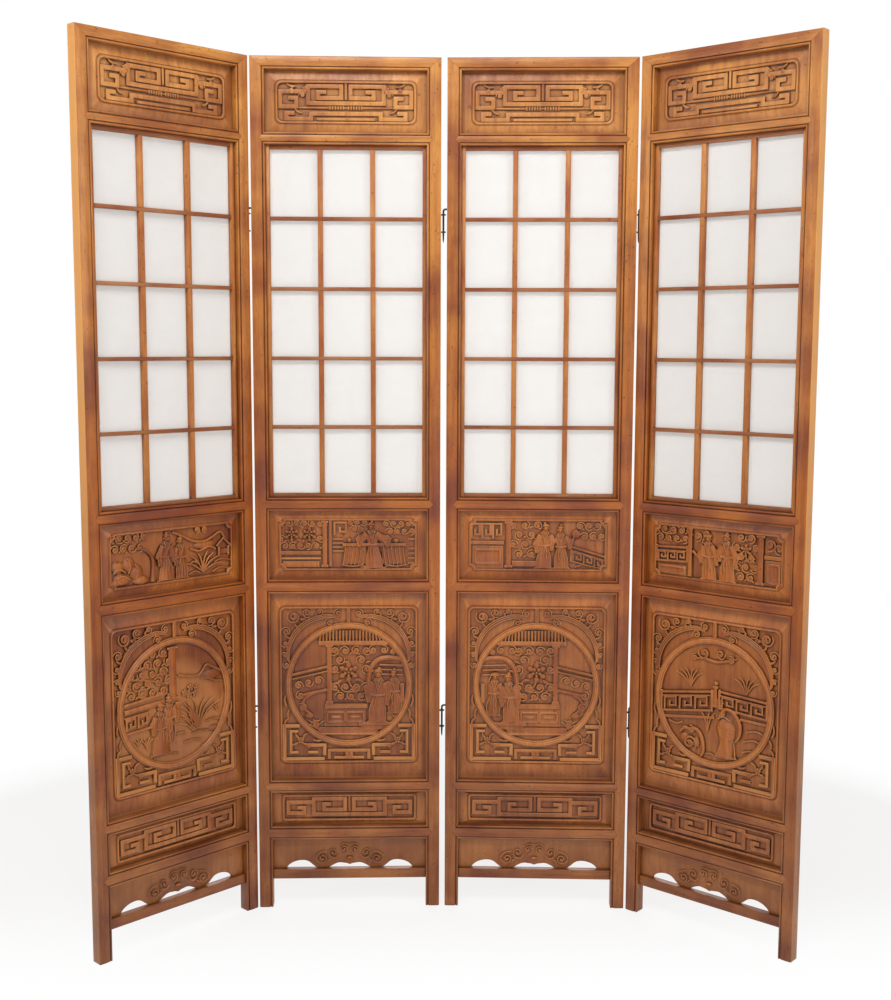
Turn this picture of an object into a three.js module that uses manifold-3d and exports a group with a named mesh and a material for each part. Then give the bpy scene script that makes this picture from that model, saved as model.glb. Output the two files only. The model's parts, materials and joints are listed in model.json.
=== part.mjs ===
// Four-panel folding screen of carved wood with papered lattice windows and iron lift-off hinges.
// Millimetres, +Z up, +X to the right and +Y away from a viewer who faces the carved side.
// A panel is built flat, with x from its left edge, y from mid thickness and z from the floor.
import * as THREE from 'three';
import { mergeVertices } from 'three/addons/utils/BufferGeometryUtils.js';
import Module from 'manifold-3d';

const wasm = await Module();
wasm.setup();

// Driving sizes of a panel
const panelWidth = 455;
const screenHeight = 2100;
const half = 15;
const stileWidth = 34;
const left = stileWidth;
const right = panelWidth - stileWidth;
const centre = panelWidth / 2;
const gap = 0.3;

// Rails from a joiner's rod: the top edge above the floor, and the height
const rod = {
  top: { top: screenHeight, height: 30 },
  head: { top: 1924, height: 28 },
  sill: { top: 1048, height: 33 },
  waist: { top: 844, height: 35 },
  low: { top: 332, height: 32 },
  apron: { top: 212, height: 35 },
  foot: { top: 96, height: 24 },
};
const railBack = 14;
const lapBack = -5;

// Edge moulding: a quirk and a bead along every opening, on a slightly crowned face
const beadRadius = 2.5;
const beadSink = 0.5;
const quirkWidth = 2;
const quirkDepth = 3.2;
const crown = 0.8;
const arris = 2;

// Tenons, grooves and boards
const tenon = { front: -4, back: 5, inset: 7, short: 0.2 };
const board = { front: 3, back: 11, tongue: 5, ground: 1.5, field: -2.5, fret: -3.6, rim: -5 };

// Raised rims round the carved fields of the boards
const rimWidth = 6;
const rims = {
  top: { halfWidth: 168, z0: 1945, z1: 2045, radius: 14, steps: 2 },
  waist: { halfWidth: 170, z0: 866, z1: 995, radius: 12, steps: 2, scooped: true },
  medallion: { halfWidth: 172, z0: 374, z1: 775, radius: 14, steps: 2 },
  low: { halfWidth: 169, z0: 223, z1: 292, radius: 7, steps: 1 },
};

// Frets: the left half, with x from the panel's centre line, then mirrored
const fretWidth = 9;
const barOverlap = 2;
const topFret = {
  post: { z0: 2001, z1: 2041 },
  bars: [
    { line: [[barOverlap, 1993], [-90, 1993], [-90, 2032.5], [-11, 2032.5], [-11, 2005], [-66, 2005],
      [-66, 2019], [-46, 2019]] },
    { line: [[-90, 2020], [-156, 2020], [-156, 1985], [-118, 1985], [-118, 2005], [-138, 2005]] },
    { line: [[barOverlap, 1969], [-83, 1969], [-83, 1956.5], [-142, 1956.5], [-142, 1970], [-122, 1970]] },
    { line: [[barOverlap, 1956], [-70, 1956]], width: 7 },
  ],
};
const lowFret = {
  post: { z0: 247, z1: 288 },
  bars: [
    { line: [[barOverlap, 239], [-90, 239], [-90, 280], [-11, 280], [-11, 251.5], [-64, 251.5],
      [-64, 266], [-46, 266]] },
    { line: [[-90, 271], [-154, 271], [-154, 243], [-114, 243], [-114, 257], [-132, 257]] },
  ],
};
const postWidth = 7;

// Medallion ring: half round, on the sunk ground of the largest board
const medallion = { z: 575, inner: 142, outer: 160, top: -7, segments: 28, facets: 2 };

// Apron: arches measured out from the panel's centre line
const arches = {
  side: { outer: 160, crown: 120, inner: 80, top: 117 },
  middle: { outer: 56, shoulder: 24, top: 110 },
  bud: { shoulder: 8, top: 108, tip: 105 },
};

// Window: a sash of three by five panes with sheets of paper glued to its back
const sash = { front: -2, back: 10, edge: 10, upright: 12, crossBar: 9, columns: 3, rows: 5 };
const paper = { front: 10.3, back: 11.3, margin: 1 };

// Iron hinges: a hook on the right-hand panel of a pair hangs in two eyes on the left-hand one
const hinge = {
  fromEye: 6, fromHook: 9, wire: 2.35, tipWire: 0.6, bend: 5, spike: 22,
  arms: [1747, 521], eyeDrops: [13, 54], drop: 58, tip: 79,
  eyeRadius: 4.9, eyeWire: 1.6, wireSides: 6,
};
const footEase = 2;
const footRail = { front: -6, back: 13 };

// Plan heading of each panel as the screen stands, in degrees
const headings = [43.3, 0, -3.9, -42.6];

const wood = { color: '#b0703a', roughness: 0.5, metalness: 0 };
const sheet = { color: '#f2eee8', roughness: 0.9, metalness: 0 };
const iron = { color: '#2b2725', roughness: 0.6, metalness: 0.8 };

function solidOf(geometry) {
  geometry.deleteAttribute('normal');
  geometry.deleteAttribute('uv');
  const merged = mergeVertices(geometry, 1e-4);
  return new wasm.Manifold(new wasm.Mesh({
    numProp: 3,
    vertProperties: merged.attributes.position.array,
    triVerts: new Uint32Array(merged.index.array),
  }));
}

function geometryOf(solid) {
  const mesh = solid.getMesh();
  const geometry = new THREE.BufferGeometry();
  geometry.setAttribute('position', new THREE.BufferAttribute(mesh.vertProperties, 3));
  geometry.setIndex(new THREE.BufferAttribute(mesh.triVerts, 1));
  geometry.computeVertexNormals();
  return geometry;
}

const axisX = new THREE.Vector3(1, 0, 0);
const axisY = new THREE.Vector3(0, 1, 0);
const axisZ = new THREE.Vector3(0, 0, 1);
const extrudedAlongX = new THREE.Matrix4().makeBasis(axisY, axisZ, axisX);
const extrudedTowardsFront = new THREE.Matrix4().makeBasis(axisX, axisZ, axisY.clone().negate());

function extrude(shape, depth, curveSegments = 2) {
  return new THREE.ExtrudeGeometry(shape, { depth, bevelEnabled: false, curveSegments });
}

// A front outline (x, z) from the depth front to the depth back
function plate(shape, front, back, curveSegments) {
  const geometry = extrude(shape, back - front, curveSegments);
  return solidOf(geometry.applyMatrix4(extrudedTowardsFront).translate(0, back, 0));
}

// A section (y, z) run along x
function run(shape, x0, x1) {
  return solidOf(extrude(shape, x1 - x0).applyMatrix4(extrudedAlongX).translate(x0, 0, 0));
}

function block(x0, x1, y0, y1, z0, z1) {
  const box = new THREE.BoxGeometry(x1 - x0, y1 - y0, z1 - z0);
  return solidOf(box.translate((x0 + x1) / 2, (y0 + y1) / 2, (z0 + z1) / 2));
}

// A closed skin over sections of equal point counts, each convex, with flat ends
function loft(sections) {
  const count = sections[0].length;
  const index = [];
  for (let s = 0; s < sections.length - 1; s++) {
    for (let i = 0; i < count; i++) {
      const a = s * count + i;
      const b = s * count + (i + 1) % count;
      index.push(a, b, b + count, a, b + count, a + count);
    }
  }
  const last = (sections.length - 1) * count;
  for (let i = 1; i < count - 1; i++) {
    index.push(0, i + 1, i);
    index.push(last, last + i, last + i + 1);
  }
  const geometry = new THREE.BufferGeometry().setFromPoints(sections.flat());
  geometry.setIndex(index);
  return solidOf(geometry);
}

function rectangle(x0, x1, z0, z1, y) {
  return [[x0, z0], [x1, z0], [x1, z1], [x0, z1]].map(([x, z]) => new THREE.Vector3(x, y, z));
}

function shapeOf(points) {
  return new THREE.Shape(points.map(([x, y]) => new THREE.Vector2(x, y)));
}

// Points round an arc, both ends included
function arc(x, y, radius, from, to, steps) {
  return Array.from({ length: steps + 1 }, (_, i) => {
    const angle = THREE.MathUtils.degToRad(from + (to - from) * i / steps);
    return [x + radius * Math.cos(angle), y + radius * Math.sin(angle)];
  });
}

// A rectangle with its corners rounded, or scooped in
function cornered({ x0, x1, z0, z1 }, { radius, steps, scooped = false }) {
  const corners = [[x1, z0, -1, 1, -90], [x1, z1, -1, -1, 0], [x0, z1, 1, -1, 90], [x0, z0, 1, 1, 180]];
  return shapeOf(corners.flatMap(([x, z, inX, inZ, from]) => (scooped
    ? arc(x, z, radius, from - 90, from - 180, steps)
    : arc(x + inX * radius, z + inZ * radius, radius, from, from + 90, steps))));
}

// The outline of a bar of constant width along a square-cornered line
function fretShape(line, width) {
  const side = (sign) => line.map(([x, z], i) => {
    const [px, pz] = line[Math.max(i - 1, 0)];
    const [nx, nz] = line[Math.min(i + 1, line.length - 1)];
    const before = new THREE.Vector2(x - px, z - pz).normalize();
    const after = new THREE.Vector2(nx - x, nz - z).normalize();
    const normal = new THREE.Vector2(-(before.y + after.y), before.x + after.x);
    return [x + sign * normal.x * width / 2, z + sign * normal.y * width / 2];
  });
  return shapeOf([...side(1), ...side(-1).reverse()]);
}

// The front edge of a moulding beside an opening: from the bead's outer side to the crowned face
const faceDepth = -half + crown;
const beadDepth = -half + beadSink + beadRadius;
const mouldingWidth = 2 * beadRadius + quirkWidth;

function stileShape(mirrored) {
  const quirk = stileWidth - mouldingWidth;
  const points = [
    [0, half], [0, faceDepth + arris], [arris, faceDepth], [quirk / 2, -half], [quirk, faceDepth],
    [quirk + quirkWidth / 2, -half + quirkDepth],
    ...arc(stileWidth - beadRadius, beadDepth, beadRadius, 180, 360, 3), [stileWidth, half],
  ];
  return shapeOf(points.map(([x, y]) => [mirrored ? panelWidth - x : x, y]));
}

// A rail's section (y, z), beaded along the bottom and, unless it caps the panel, along the top
function railShape(bottom, top, capping) {
  const quirk = bottom + mouldingWidth;
  const topEdge = capping ? [[faceDepth, top - arris], [faceDepth + arris, top]] : [
    [faceDepth, top - mouldingWidth], [-half + quirkDepth, top - mouldingWidth + quirkWidth / 2],
    ...arc(beadDepth, top - beadRadius, beadRadius, -90, -270, 3),
  ];
  return shapeOf([
    [railBack, bottom], ...arc(beadDepth, bottom + beadRadius, beadRadius, -90, -270, 3),
    [-half + quirkDepth, quirk - quirkWidth / 2], [faceDepth, quirk], [-half, (quirk + top) / 2],
    ...topEdge, [railBack, top],
  ]);
}

// The front lap of a rail: its ends run out at 45 degrees to a point over each stile
function pointedLap(bottom, top, grow) {
  const z0 = bottom - grow;
  const z1 = top + grow;
  const reach = (z1 - z0) / 2;
  const mid = (z0 + z1) / 2;
  return shapeOf([
    [left, z0], [right, z0], [right + reach, mid], [right, z1], [left, z1], [left - reach, mid],
  ]);
}

// The front lap of the top rail: mitred from the corner of the opening to the corner of the panel
function mitredLap(bottom, top, grow) {
  const slope = left / (top - bottom);
  const shift = grow * Math.hypot(1, slope);
  const inset = (z) => left - shift - slope * (z - bottom);
  const [low, high] = [inset(bottom - grow), inset(top + grow)];
  return shapeOf([[low, bottom - grow], [panelWidth - low, bottom - grow],
    [panelWidth - high, top + grow], [high, top + grow]]);
}

function tenonBlock(rail, grow) {
  const bottom = rail.top - rail.height + tenon.inset - grow;
  const top = rail.top - tenon.inset + grow;
  const end = grow ? -1 : tenon.short;
  return block(end, panelWidth - end, tenon.front - grow, tenon.back + grow, bottom, top);
}

function mouldedRail(rail, capping = false) {
  const bottom = rail.top - rail.height;
  const lap = capping ? mitredLap(bottom, rail.top, 0) : pointedLap(bottom, rail.top, 0);
  const body = block(left + gap, right - gap, -half - 1, railBack + 1, bottom - 1, rail.top + 1);
  const ends = plate(lap, -half - 1, lapBack).add(body).add(tenonBlock(rail, 0));
  return run(railShape(bottom, rail.top, capping), 0, panelWidth).intersect(ends);
}

// What the rails take out of the stiles
function railPockets() {
  const root2 = Math.SQRT2;
  const pockets = Object.values(rod).map((rail) => tenonBlock(rail, gap));
  for (const rail of [rod.head, rod.sill, rod.waist, rod.low, rod.apron]) {
    const lap = pointedLap(rail.top - rail.height, rail.top, gap * root2);
    pockets.push(plate(lap, -half - 1, lapBack + gap));
  }
  const mitre = mitredLap(rod.top.top - rod.top.height, rod.top.top, gap);
  pockets.push(plate(mitre, -half - 1, lapBack + gap));
  return wasm.Manifold.union(pockets);
}

function opening(railBelow, railAbove) {
  return { z0: railBelow.top, z1: railAbove.top - railAbove.height };
}

function grooveFor({ z0, z1 }) {
  const depth = board.tongue + gap;
  return block(left - depth, right + depth, board.front - gap, board.back + gap, z0 - depth, z1 + depth);
}

// A board in its grooves, with a field that rises by mitred bevels to a raised rim round sunk ground
function carvedBoard({ z0, z1 }, rim) {
  const { tongue, front, back, field, ground } = board;
  const base = block(left - tongue, right + tongue, front, back, z0 - tongue, z1 + tongue);
  const edge = 0.5;
  const outside = { x0: centre - rim.halfWidth, x1: centre + rim.halfWidth, z0: rim.z0, z1: rim.z1 };
  const inside = {
    x0: outside.x0 + rimWidth, x1: outside.x1 - rimWidth, z0: rim.z0 + rimWidth, z1: rim.z1 - rimWidth,
  };
  const bevel = loft([
    rectangle(left + edge, right - edge, z0 + edge, z1 - edge, front + 1),
    rectangle(left + edge, right - edge, z0 + edge, z1 - edge, front),
    rectangle(outside.x0, outside.x1, outside.z0, outside.z1, field),
  ]);
  const innerRadius = rim.scooped ? rim.radius : rim.radius - rimWidth / 2;
  const ring = cornered(outside, rim);
  const inner = cornered(inside, { ...rim, radius: innerRadius });
  const sunk = plate(inner, -half, ground);
  ring.holes.push(inner);
  return base.add(bevel).add(plate(ring, board.rim, field + 1)).subtract(sunk);
}

// A post on the centre line and bars on both sides of it, standing on the sunk ground
function addFret(solid, { post, bars }) {
  const sunkBack = board.ground + 1;
  const solids = bars.flatMap(({ line, width = fretWidth }) => [1, -1].map((side) => {
    const placed = line.map(([x, z]) => [centre + side * x, z]);
    return plate(fretShape(placed, width), board.fret, sunkBack);
  }));
  const postLine = [[centre, post.z0], [centre, post.z1]];
  solids.push(plate(fretShape(postLine, postWidth), board.fret + 1, sunkBack));
  return solid.add(wasm.Manifold.union(solids));
}

function topBoard() {
  return addFret(carvedBoard(opening(rod.head, rod.top), rims.top), topFret);
}

function lowBoard() {
  return addFret(carvedBoard(opening(rod.apron, rod.low), rims.low), lowFret);
}

// The waist board stands between the two rails that hold it, as one joined unit
function waistUnit() {
  const field = carvedBoard(opening(rod.waist, rod.sill), rims.waist);
  return mouldedRail(rod.sill).add(field).add(mouldedRail(rod.waist));
}

function medallionBoard() {
  const { z, inner, outer, top, segments, facets } = medallion;
  const field = carvedBoard(opening(rod.low, rod.waist), rims.medallion);
  const middle = (inner + outer) / 2;
  const radius = (outer - inner) / 2;
  const depth = board.ground - top;
  const shoulder = 0.4;
  const crest = arc(0, 0, 1, 0, 180, facets + 1).map(([across, up]) => (
    [middle + radius * across, -depth * (shoulder + (1 - shoulder) * up)]
  ));
  const section = [[inner, 1], ...crest.reverse(), [outer, 1], [inner, 1]];
  const ring = new THREE.LatheGeometry(section.map(([x, y]) => new THREE.Vector2(x, y)), segments);
  ring.translate(centre, board.ground, z);
  return field.add(solidOf(ring));
}

// The left half of the apron's lower edge, from the stile to the tip of the bud on the centre line
function apronEdge(foot) {
  const { side, middle, bud } = arches;
  const at = (x, z) => new THREE.Vector2(centre - x, z);
  const curve = (...points) => new THREE.CubicBezierCurve(...points.map(([x, z]) => at(x, z)));
  const edge = new THREE.CurvePath();
  edge.add(curve([side.outer, foot], [side.outer - 4, side.top - 9], [side.crown + 18, side.top],
    [side.crown, side.top]));
  edge.add(curve([side.crown, side.top], [side.crown - 22, side.top], [side.inner + 18, foot + 7],
    [side.inner, foot]));
  edge.add(new THREE.LineCurve(at(side.inner, foot), at(middle.outer, foot)));
  edge.add(curve([middle.outer, foot], [middle.outer - 8, foot + 3], [middle.shoulder + 12, middle.top],
    [middle.shoulder, middle.top]));
  edge.add(new THREE.LineCurve(at(middle.shoulder, middle.top), at(bud.shoulder, bud.top)));
  edge.add(new THREE.LineCurve(at(bud.shoulder, bud.top), at(0, bud.tip)));
  const steps = 3;
  return edge.getPoints(steps).map(({ x, y }) => [x, y]);
}

// The apron's outline: two side arches and a middle one, with lappets between them
function apronShape() {
  const top = rod.apron.top - rod.apron.height + board.tongue;
  const foot = rod.foot.top - 1;
  const [outerLeft, outerRight] = [left - board.tongue, right + board.tongue];
  const leftHalf = apronEdge(foot);
  const rightHalf = leftHalf.slice(0, -1).reverse().map(([x, z]) => [panelWidth - x, z]);
  return shapeOf([
    [outerLeft, foot], ...leftHalf, ...rightHalf, [outerRight, foot], [outerRight, top], [outerLeft, top],
  ]);
}

// The apron stands on the foot rail, which is plain and set back from the stiles' faces
function apronUnit() {
  const { top, height } = rod.foot;
  const rail = block(left + gap, right - gap, footRail.front, footRail.back, top - height, top);
  const apron = plate(apronShape(), board.front, board.back);
  return apron.add(rail).add(tenonBlock(rod.foot, 0));
}

// The sash: a board pierced by its panes
function latticeSash() {
  const { z0, z1 } = opening(rod.sill, rod.head);
  const { front, back, edge, upright, crossBar, columns, rows } = sash;
  const [x0, x1, bottom, top] = [left + gap, right - gap, z0 + gap, z1 - gap];
  const paneWidth = (x1 - x0 - 2 * edge - (columns - 1) * upright) / columns;
  const paneHeight = (top - bottom - 2 * edge - (rows - 1) * crossBar) / rows;
  const panes = [];
  for (let column = 0; column < columns; column++) {
    for (let row = 0; row < rows; row++) {
      const x = x0 + edge + column * (paneWidth + upright);
      const z = bottom + edge + row * (paneHeight + crossBar);
      panes.push(block(x, x + paneWidth, front - 1, back + 1, z, z + paneHeight));
    }
  }
  return block(x0, x1, front, back, bottom, top).subtract(wasm.Manifold.union(panes));
}

function paperSheet() {
  const { z0, z1 } = opening(rod.sill, rod.head);
  const { front, back, margin } = paper;
  return block(left + margin, right - margin, front, back, z0 + margin, z1 - margin);
}

// A round wire along a line in the xz plane, with a radius at each point
function wire(points, sides) {
  return loft(points.map(({ x, z, radius }, i) => {
    const before = points[Math.max(i - 1, 0)];
    const after = points[Math.min(i + 1, points.length - 1)];
    const along = new THREE.Vector2(after.x - before.x, after.z - before.z).normalize();
    return Array.from({ length: sides }, (_, k) => {
      const angle = 2 * Math.PI * k / sides;
      const out = radius * Math.cos(angle);
      return new THREE.Vector3(x + along.y * out, radius * Math.sin(angle), z - along.x * out);
    });
  }));
}

// A hook: a spike in the edge of the stile, a bend, and a pin that hangs down and tapers to a point
function hook(armHeight) {
  const { wire: radius, bend, drop, tip, tipWire, fromHook, spike, wireSides } = hinge;
  const axis = -fromHook;
  const points = [{ x: spike, z: armHeight, radius: tipWire }, { x: spike / 2, z: armHeight, radius }];
  for (const [x, z] of arc(axis + bend, armHeight - bend, bend, 90, 180, 3)) points.push({ x, z, radius });
  points.push({ x: axis, z: armHeight - drop, radius });
  points.push({ x: axis, z: armHeight - tip, radius: tipWire });
  return wire(points, wireSides);
}

function hookHole(armHeight) {
  const radius = hinge.wire + gap;
  return block(-1, hinge.spike + 1, -radius, radius, armHeight - radius, armHeight + radius);
}

// An eye: a ring round the pin's axis, let a little into the edge of the stile
function eye(height) {
  const { eyeRadius, eyeWire, fromEye, wireSides } = hinge;
  const section = arc(eyeRadius, 0, eyeWire, 0, 360, 4).map(([x, y]) => new THREE.Vector2(x, y));
  section[4].copy(section[0]);
  const ring = new THREE.LatheGeometry(section, wireSides, Math.PI / 2).rotateX(Math.PI / 2);
  return solidOf(ring.translate(panelWidth + fromEye, 0, height));
}

// A stile with its foot eased all round
function stile(mirrored, pockets) {
  const raw = solidOf(extrude(stileShape(mirrored), screenHeight));
  const [x0, x1] = mirrored ? [right, panelWidth] : [0, left];
  const section = (inset, z) => [[x0 + inset, -half + inset], [x1 - inset, -half + inset],
    [x1 - inset, half - inset], [x0 + inset, half - inset]].map(([x, y]) => new THREE.Vector3(x, y, z));
  const eased = loft([section(footEase, 0), section(0, footEase), section(0, screenHeight)]);
  return raw.intersect(eased).subtract(pockets);
}

function panelSolids(hasEyes, hasHooks) {
  const boards = [opening(rod.head, rod.top), opening(rod.waist, rod.sill), opening(rod.low, rod.waist),
    opening(rod.apron, rod.low), opening(rod.foot, rod.apron)];
  const grooves = wasm.Manifold.union(boards.map(grooveFor));
  const pockets = railPockets().add(grooves);
  let leftStile = stile(false, pockets);
  let rightStile = stile(true, pockets);
  for (const arm of hinge.arms) {
    if (hasHooks) leftStile = leftStile.subtract(hookHole(arm));
    const eyes = hasEyes ? hinge.eyeDrops.map((drop) => eye(arm - drop)) : [];
    rightStile = wasm.Manifold.union([rightStile, ...eyes]);
  }
  const medallionGroove = grooveFor(opening(rod.low, rod.waist));
  return {
    stile_left: leftStile,
    stile_right: rightStile,
    top_rail: mouldedRail(rod.top, true).subtract(grooves),
    head_rail: mouldedRail(rod.head).subtract(grooves),
    waist_unit: waistUnit().subtract(medallionGroove),
    low_rail: mouldedRail(rod.low).subtract(grooves),
    apron_rail: mouldedRail(rod.apron).subtract(grooves),
    top_board: topBoard(),
    medallion_board: medallionBoard(),
    low_board: lowBoard(),
    apron_unit: apronUnit(),
    lattice: latticeSash(),
    paper: paperSheet(),
  };
}

function addMesh(group, name, solid, finish) {
  const mesh = new THREE.Mesh(geometryOf(solid), new THREE.MeshStandardMaterial(finish));
  mesh.name = name;
  group.add(mesh);
}

function makePanel(number) {
  const panel = new THREE.Group();
  const hasHooks = number > 1;
  const solids = panelSolids(number < headings.length, hasHooks);
  for (const [piece, solid] of Object.entries(solids)) {
    addMesh(panel, `panel_${number}_${piece}`, solid, piece === 'paper' ? sheet : wood);
  }
  if (hasHooks) {
    const pair = `${number - 1}_${number}`;
    ['upper', 'lower'].forEach((place, i) => {
      addMesh(panel, `hook_${pair}_${place}`, hook(hinge.arms[i]), iron);
    });
  }
  return panel;
}

// The panels stand in a row, each turned about the pin that it shares with the one before
function makeScreen() {
  const screen = new THREE.Group();
  const row = new THREE.Group();
  const corner = new THREE.Vector2(0, 0);
  headings.forEach((degrees, i) => {
    const angle = THREE.MathUtils.degToRad(degrees);
    const along = new THREE.Vector2(Math.cos(angle), Math.sin(angle));
    if (i > 0) corner.addScaledVector(along, hinge.fromHook);
    const panel = makePanel(i + 1);
    panel.position.set(corner.x, corner.y, 0);
    panel.rotation.z = angle;
    row.add(panel);
    corner.addScaledVector(along, panelWidth + hinge.fromEye);
  });
  const middle = new THREE.Box3().setFromObject(row, true).getCenter(new THREE.Vector3());
  row.position.set(-middle.x, -middle.y, 0);
  screen.add(row);
  return screen;
}

export default makeScreen();
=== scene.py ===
import json
import math
import random

import bpy
from mathutils import Matrix, Vector


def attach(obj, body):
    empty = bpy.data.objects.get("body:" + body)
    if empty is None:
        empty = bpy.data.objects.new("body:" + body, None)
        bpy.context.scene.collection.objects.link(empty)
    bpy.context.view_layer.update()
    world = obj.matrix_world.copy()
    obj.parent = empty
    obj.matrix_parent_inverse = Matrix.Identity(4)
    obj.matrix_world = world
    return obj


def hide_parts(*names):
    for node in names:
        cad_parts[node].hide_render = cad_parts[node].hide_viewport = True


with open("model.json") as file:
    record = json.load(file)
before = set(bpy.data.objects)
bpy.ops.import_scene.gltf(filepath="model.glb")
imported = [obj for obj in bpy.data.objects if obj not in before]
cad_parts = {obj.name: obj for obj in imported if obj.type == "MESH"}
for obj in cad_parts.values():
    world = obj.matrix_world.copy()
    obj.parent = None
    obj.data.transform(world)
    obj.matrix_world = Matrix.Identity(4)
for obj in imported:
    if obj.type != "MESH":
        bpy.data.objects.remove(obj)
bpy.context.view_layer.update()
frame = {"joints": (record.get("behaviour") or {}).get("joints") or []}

mm = 0.001
random.seed(12)

# Each panel is modelled flat: x from its left edge, y from mid thickness, z from the floor, in millimetres
panel = {"width": 455, "height": 2100, "half": 15, "stile": 34, "left": 34, "right": 421, "centre": 227.5}
headings = [43.3, 0.0, -3.9, -42.6]   # plan heading of each panel, in degrees
row = {"fromEye": 6, "fromHook": 9}   # pin to the edges of the two stiles
rod = {   # rails: top edge above the floor, and height
    "top": (2100, 30), "head": (1924, 28), "sill": (1048, 33), "waist": (844, 35),
    "low": (332, 32), "apron": (212, 35), "foot": (96, 24),
}
gap = 0.3


def panelPlaces():
    pins = [Vector(joint["pos_m"]) / mm for joint in frame["joints"]]
    places = []
    for number, heading in enumerate(headings):
        along = Vector((math.cos(math.radians(heading)), math.sin(math.radians(heading)), 0))
        if number == 0:
            corner = pins[0] - along * (row["fromEye"] + panel["width"])
        else:
            corner = pins[number - 1] + along * row["fromHook"]
        corner.z = 0
        turn = Matrix.Rotation(math.radians(heading), 4, "Z")
        places.append(Matrix.Translation(corner * mm) @ turn)
    return places


places = panelPlaces()


# Small tools

def deselect():
    bpy.ops.object.select_all(action="DESELECT")


def activate(piece):
    deselect()
    piece.select_set(True)
    bpy.context.view_layer.objects.active = piece


def block(x0, x1, y0, y1, z0, z1):
    deselect()
    middle = Vector(((x0 + x1) / 2, (y0 + y1) / 2, (z0 + z1) / 2)) * mm
    bpy.ops.mesh.primitive_cube_add(size=1, location=middle, scale=Vector((x1 - x0, y1 - y0, z1 - z0)) * mm)
    bpy.ops.object.transform_apply(location=True, rotation=True, scale=True)
    return bpy.context.object


def prism(outline, push):   # a flat outline pushed along a direction
    deselect()
    bpy.ops.mesh.primitive_circle_add(vertices=len(outline), fill_type="NGON")
    piece = bpy.context.object
    for vertex, point in zip(piece.data.vertices, outline):
        vertex.co = Vector(point) * mm
    bpy.ops.object.mode_set(mode="EDIT")
    bpy.ops.mesh.select_all(action="SELECT")
    bpy.ops.mesh.extrude_region_move(TRANSFORM_OT_translate={"value": Vector(push) * mm})
    bpy.ops.mesh.select_all(action="SELECT")
    bpy.ops.mesh.normals_make_consistent(inside=False)
    bpy.ops.object.mode_set(mode="OBJECT")
    return piece


def plate(outline, front, back):   # an outline seen from the front, between two depths
    return prism([(x, front, z) for x, z in outline], (0, back - front, 0))


def join(pieces):
    deselect()
    for piece in pieces:
        piece.select_set(True)
    bpy.context.view_layer.objects.active = pieces[0]
    bpy.ops.object.join()
    return bpy.context.object


def modified(piece, kind, **settings):   # one modifier, set and applied
    modifier = piece.modifiers.new(kind.lower(), kind)
    for name, value in settings.items():
        setattr(modifier, name, value)
    activate(piece)
    bpy.ops.object.modifier_apply(modifier=modifier.name)
    return piece


def boolean(piece, other, operation, selfCrossing=False):
    modified(piece, "BOOLEAN", operation=operation, solver="EXACT", use_self=selfCrossing, object=other)
    bpy.data.objects.remove(other)
    return piece


def easeEdges(piece, width, segments=2, angle=35):
    return modified(piece, "BEVEL", width=width * mm, segments=segments, limit_method="ANGLE",
                    angle_limit=math.radians(angle))


def smooth(piece, angle=32):
    activate(piece)
    bpy.ops.object.shade_smooth_by_angle(angle=math.radians(angle))
    return piece


def wires(lines, radius, resolution, closed=False):
    # round wires along lines of points (x, y, z and share of the radius), all as one mesh
    data = bpy.data.curves.new("wires", "CURVE")
    data.dimensions = "3D"
    data.bevel_depth = radius * mm
    data.bevel_resolution = resolution
    data.use_fill_caps = not closed
    for line in lines:
        spline = data.splines.new("POLY")
        spline.points.add(len(line) - 1)
        for point, (x, y, z, share) in zip(spline.points, line):
            point.co = (x * mm, y * mm, z * mm, 1)
            point.radius = share
        spline.use_cyclic_u = closed
    piece = bpy.data.objects.new("wires", data)
    bpy.context.scene.collection.objects.link(piece)
    activate(piece)
    bpy.ops.object.convert(target="MESH")
    return bpy.context.object


def cleaned(piece):   # doubled points are joined and faces turned outward
    activate(piece)
    bpy.ops.object.mode_set(mode="EDIT")
    bpy.ops.mesh.select_all(action="SELECT")
    bpy.ops.mesh.remove_doubles(threshold=0.01 * mm)
    bpy.ops.mesh.normals_make_consistent(inside=False)
    bpy.ops.object.mode_set(mode="OBJECT")
    return piece


def onCircle(x, y, radius, angle):
    turn = math.radians(angle)
    return x + radius * math.cos(turn), y + radius * math.sin(turn)


def arc(x, y, radius, start, end, steps):
    return [onCircle(x, y, radius, start + (end - start) * i / steps) for i in range(steps + 1)]


def barOutline(line, width):   # the outline of a bar of constant width along a square-cornered line
    sides = []
    for sign in (1, -1):
        side = []
        for i, (x, z) in enumerate(line):
            px, pz = line[max(i - 1, 0)]
            nx, nz = line[min(i + 1, len(line) - 1)]
            before = Vector((x - px, z - pz)).normalized() if i else Vector((0, 0))
            after = Vector((nx - x, nz - z)).normalized() if i < len(line) - 1 else Vector((0, 0))
            normal = Vector((-(before.y + after.y), before.x + after.x))
            side.append((x + sign * normal.x * width / 2, z + sign * normal.y * width / 2))
        sides.append(side)
    return sides[0] + sides[1][::-1]


def roundedOutline(x0, x1, z0, z1, radius, steps, scooped=False):
    corners = [(x1, z0, -1, 1, -90), (x1, z1, -1, -1, 0), (x0, z1, 1, -1, 90), (x0, z0, 1, 1, 180)]
    outline = []
    for x, z, inX, inZ, start in corners:
        if scooped:
            outline += arc(x, z, radius, start - 90, start - 180, steps)
        else:
            outline += arc(x + inX * radius, z + inZ * radius, radius, start, start + 90, steps)
    return outline


# Camera, floor and light

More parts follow.
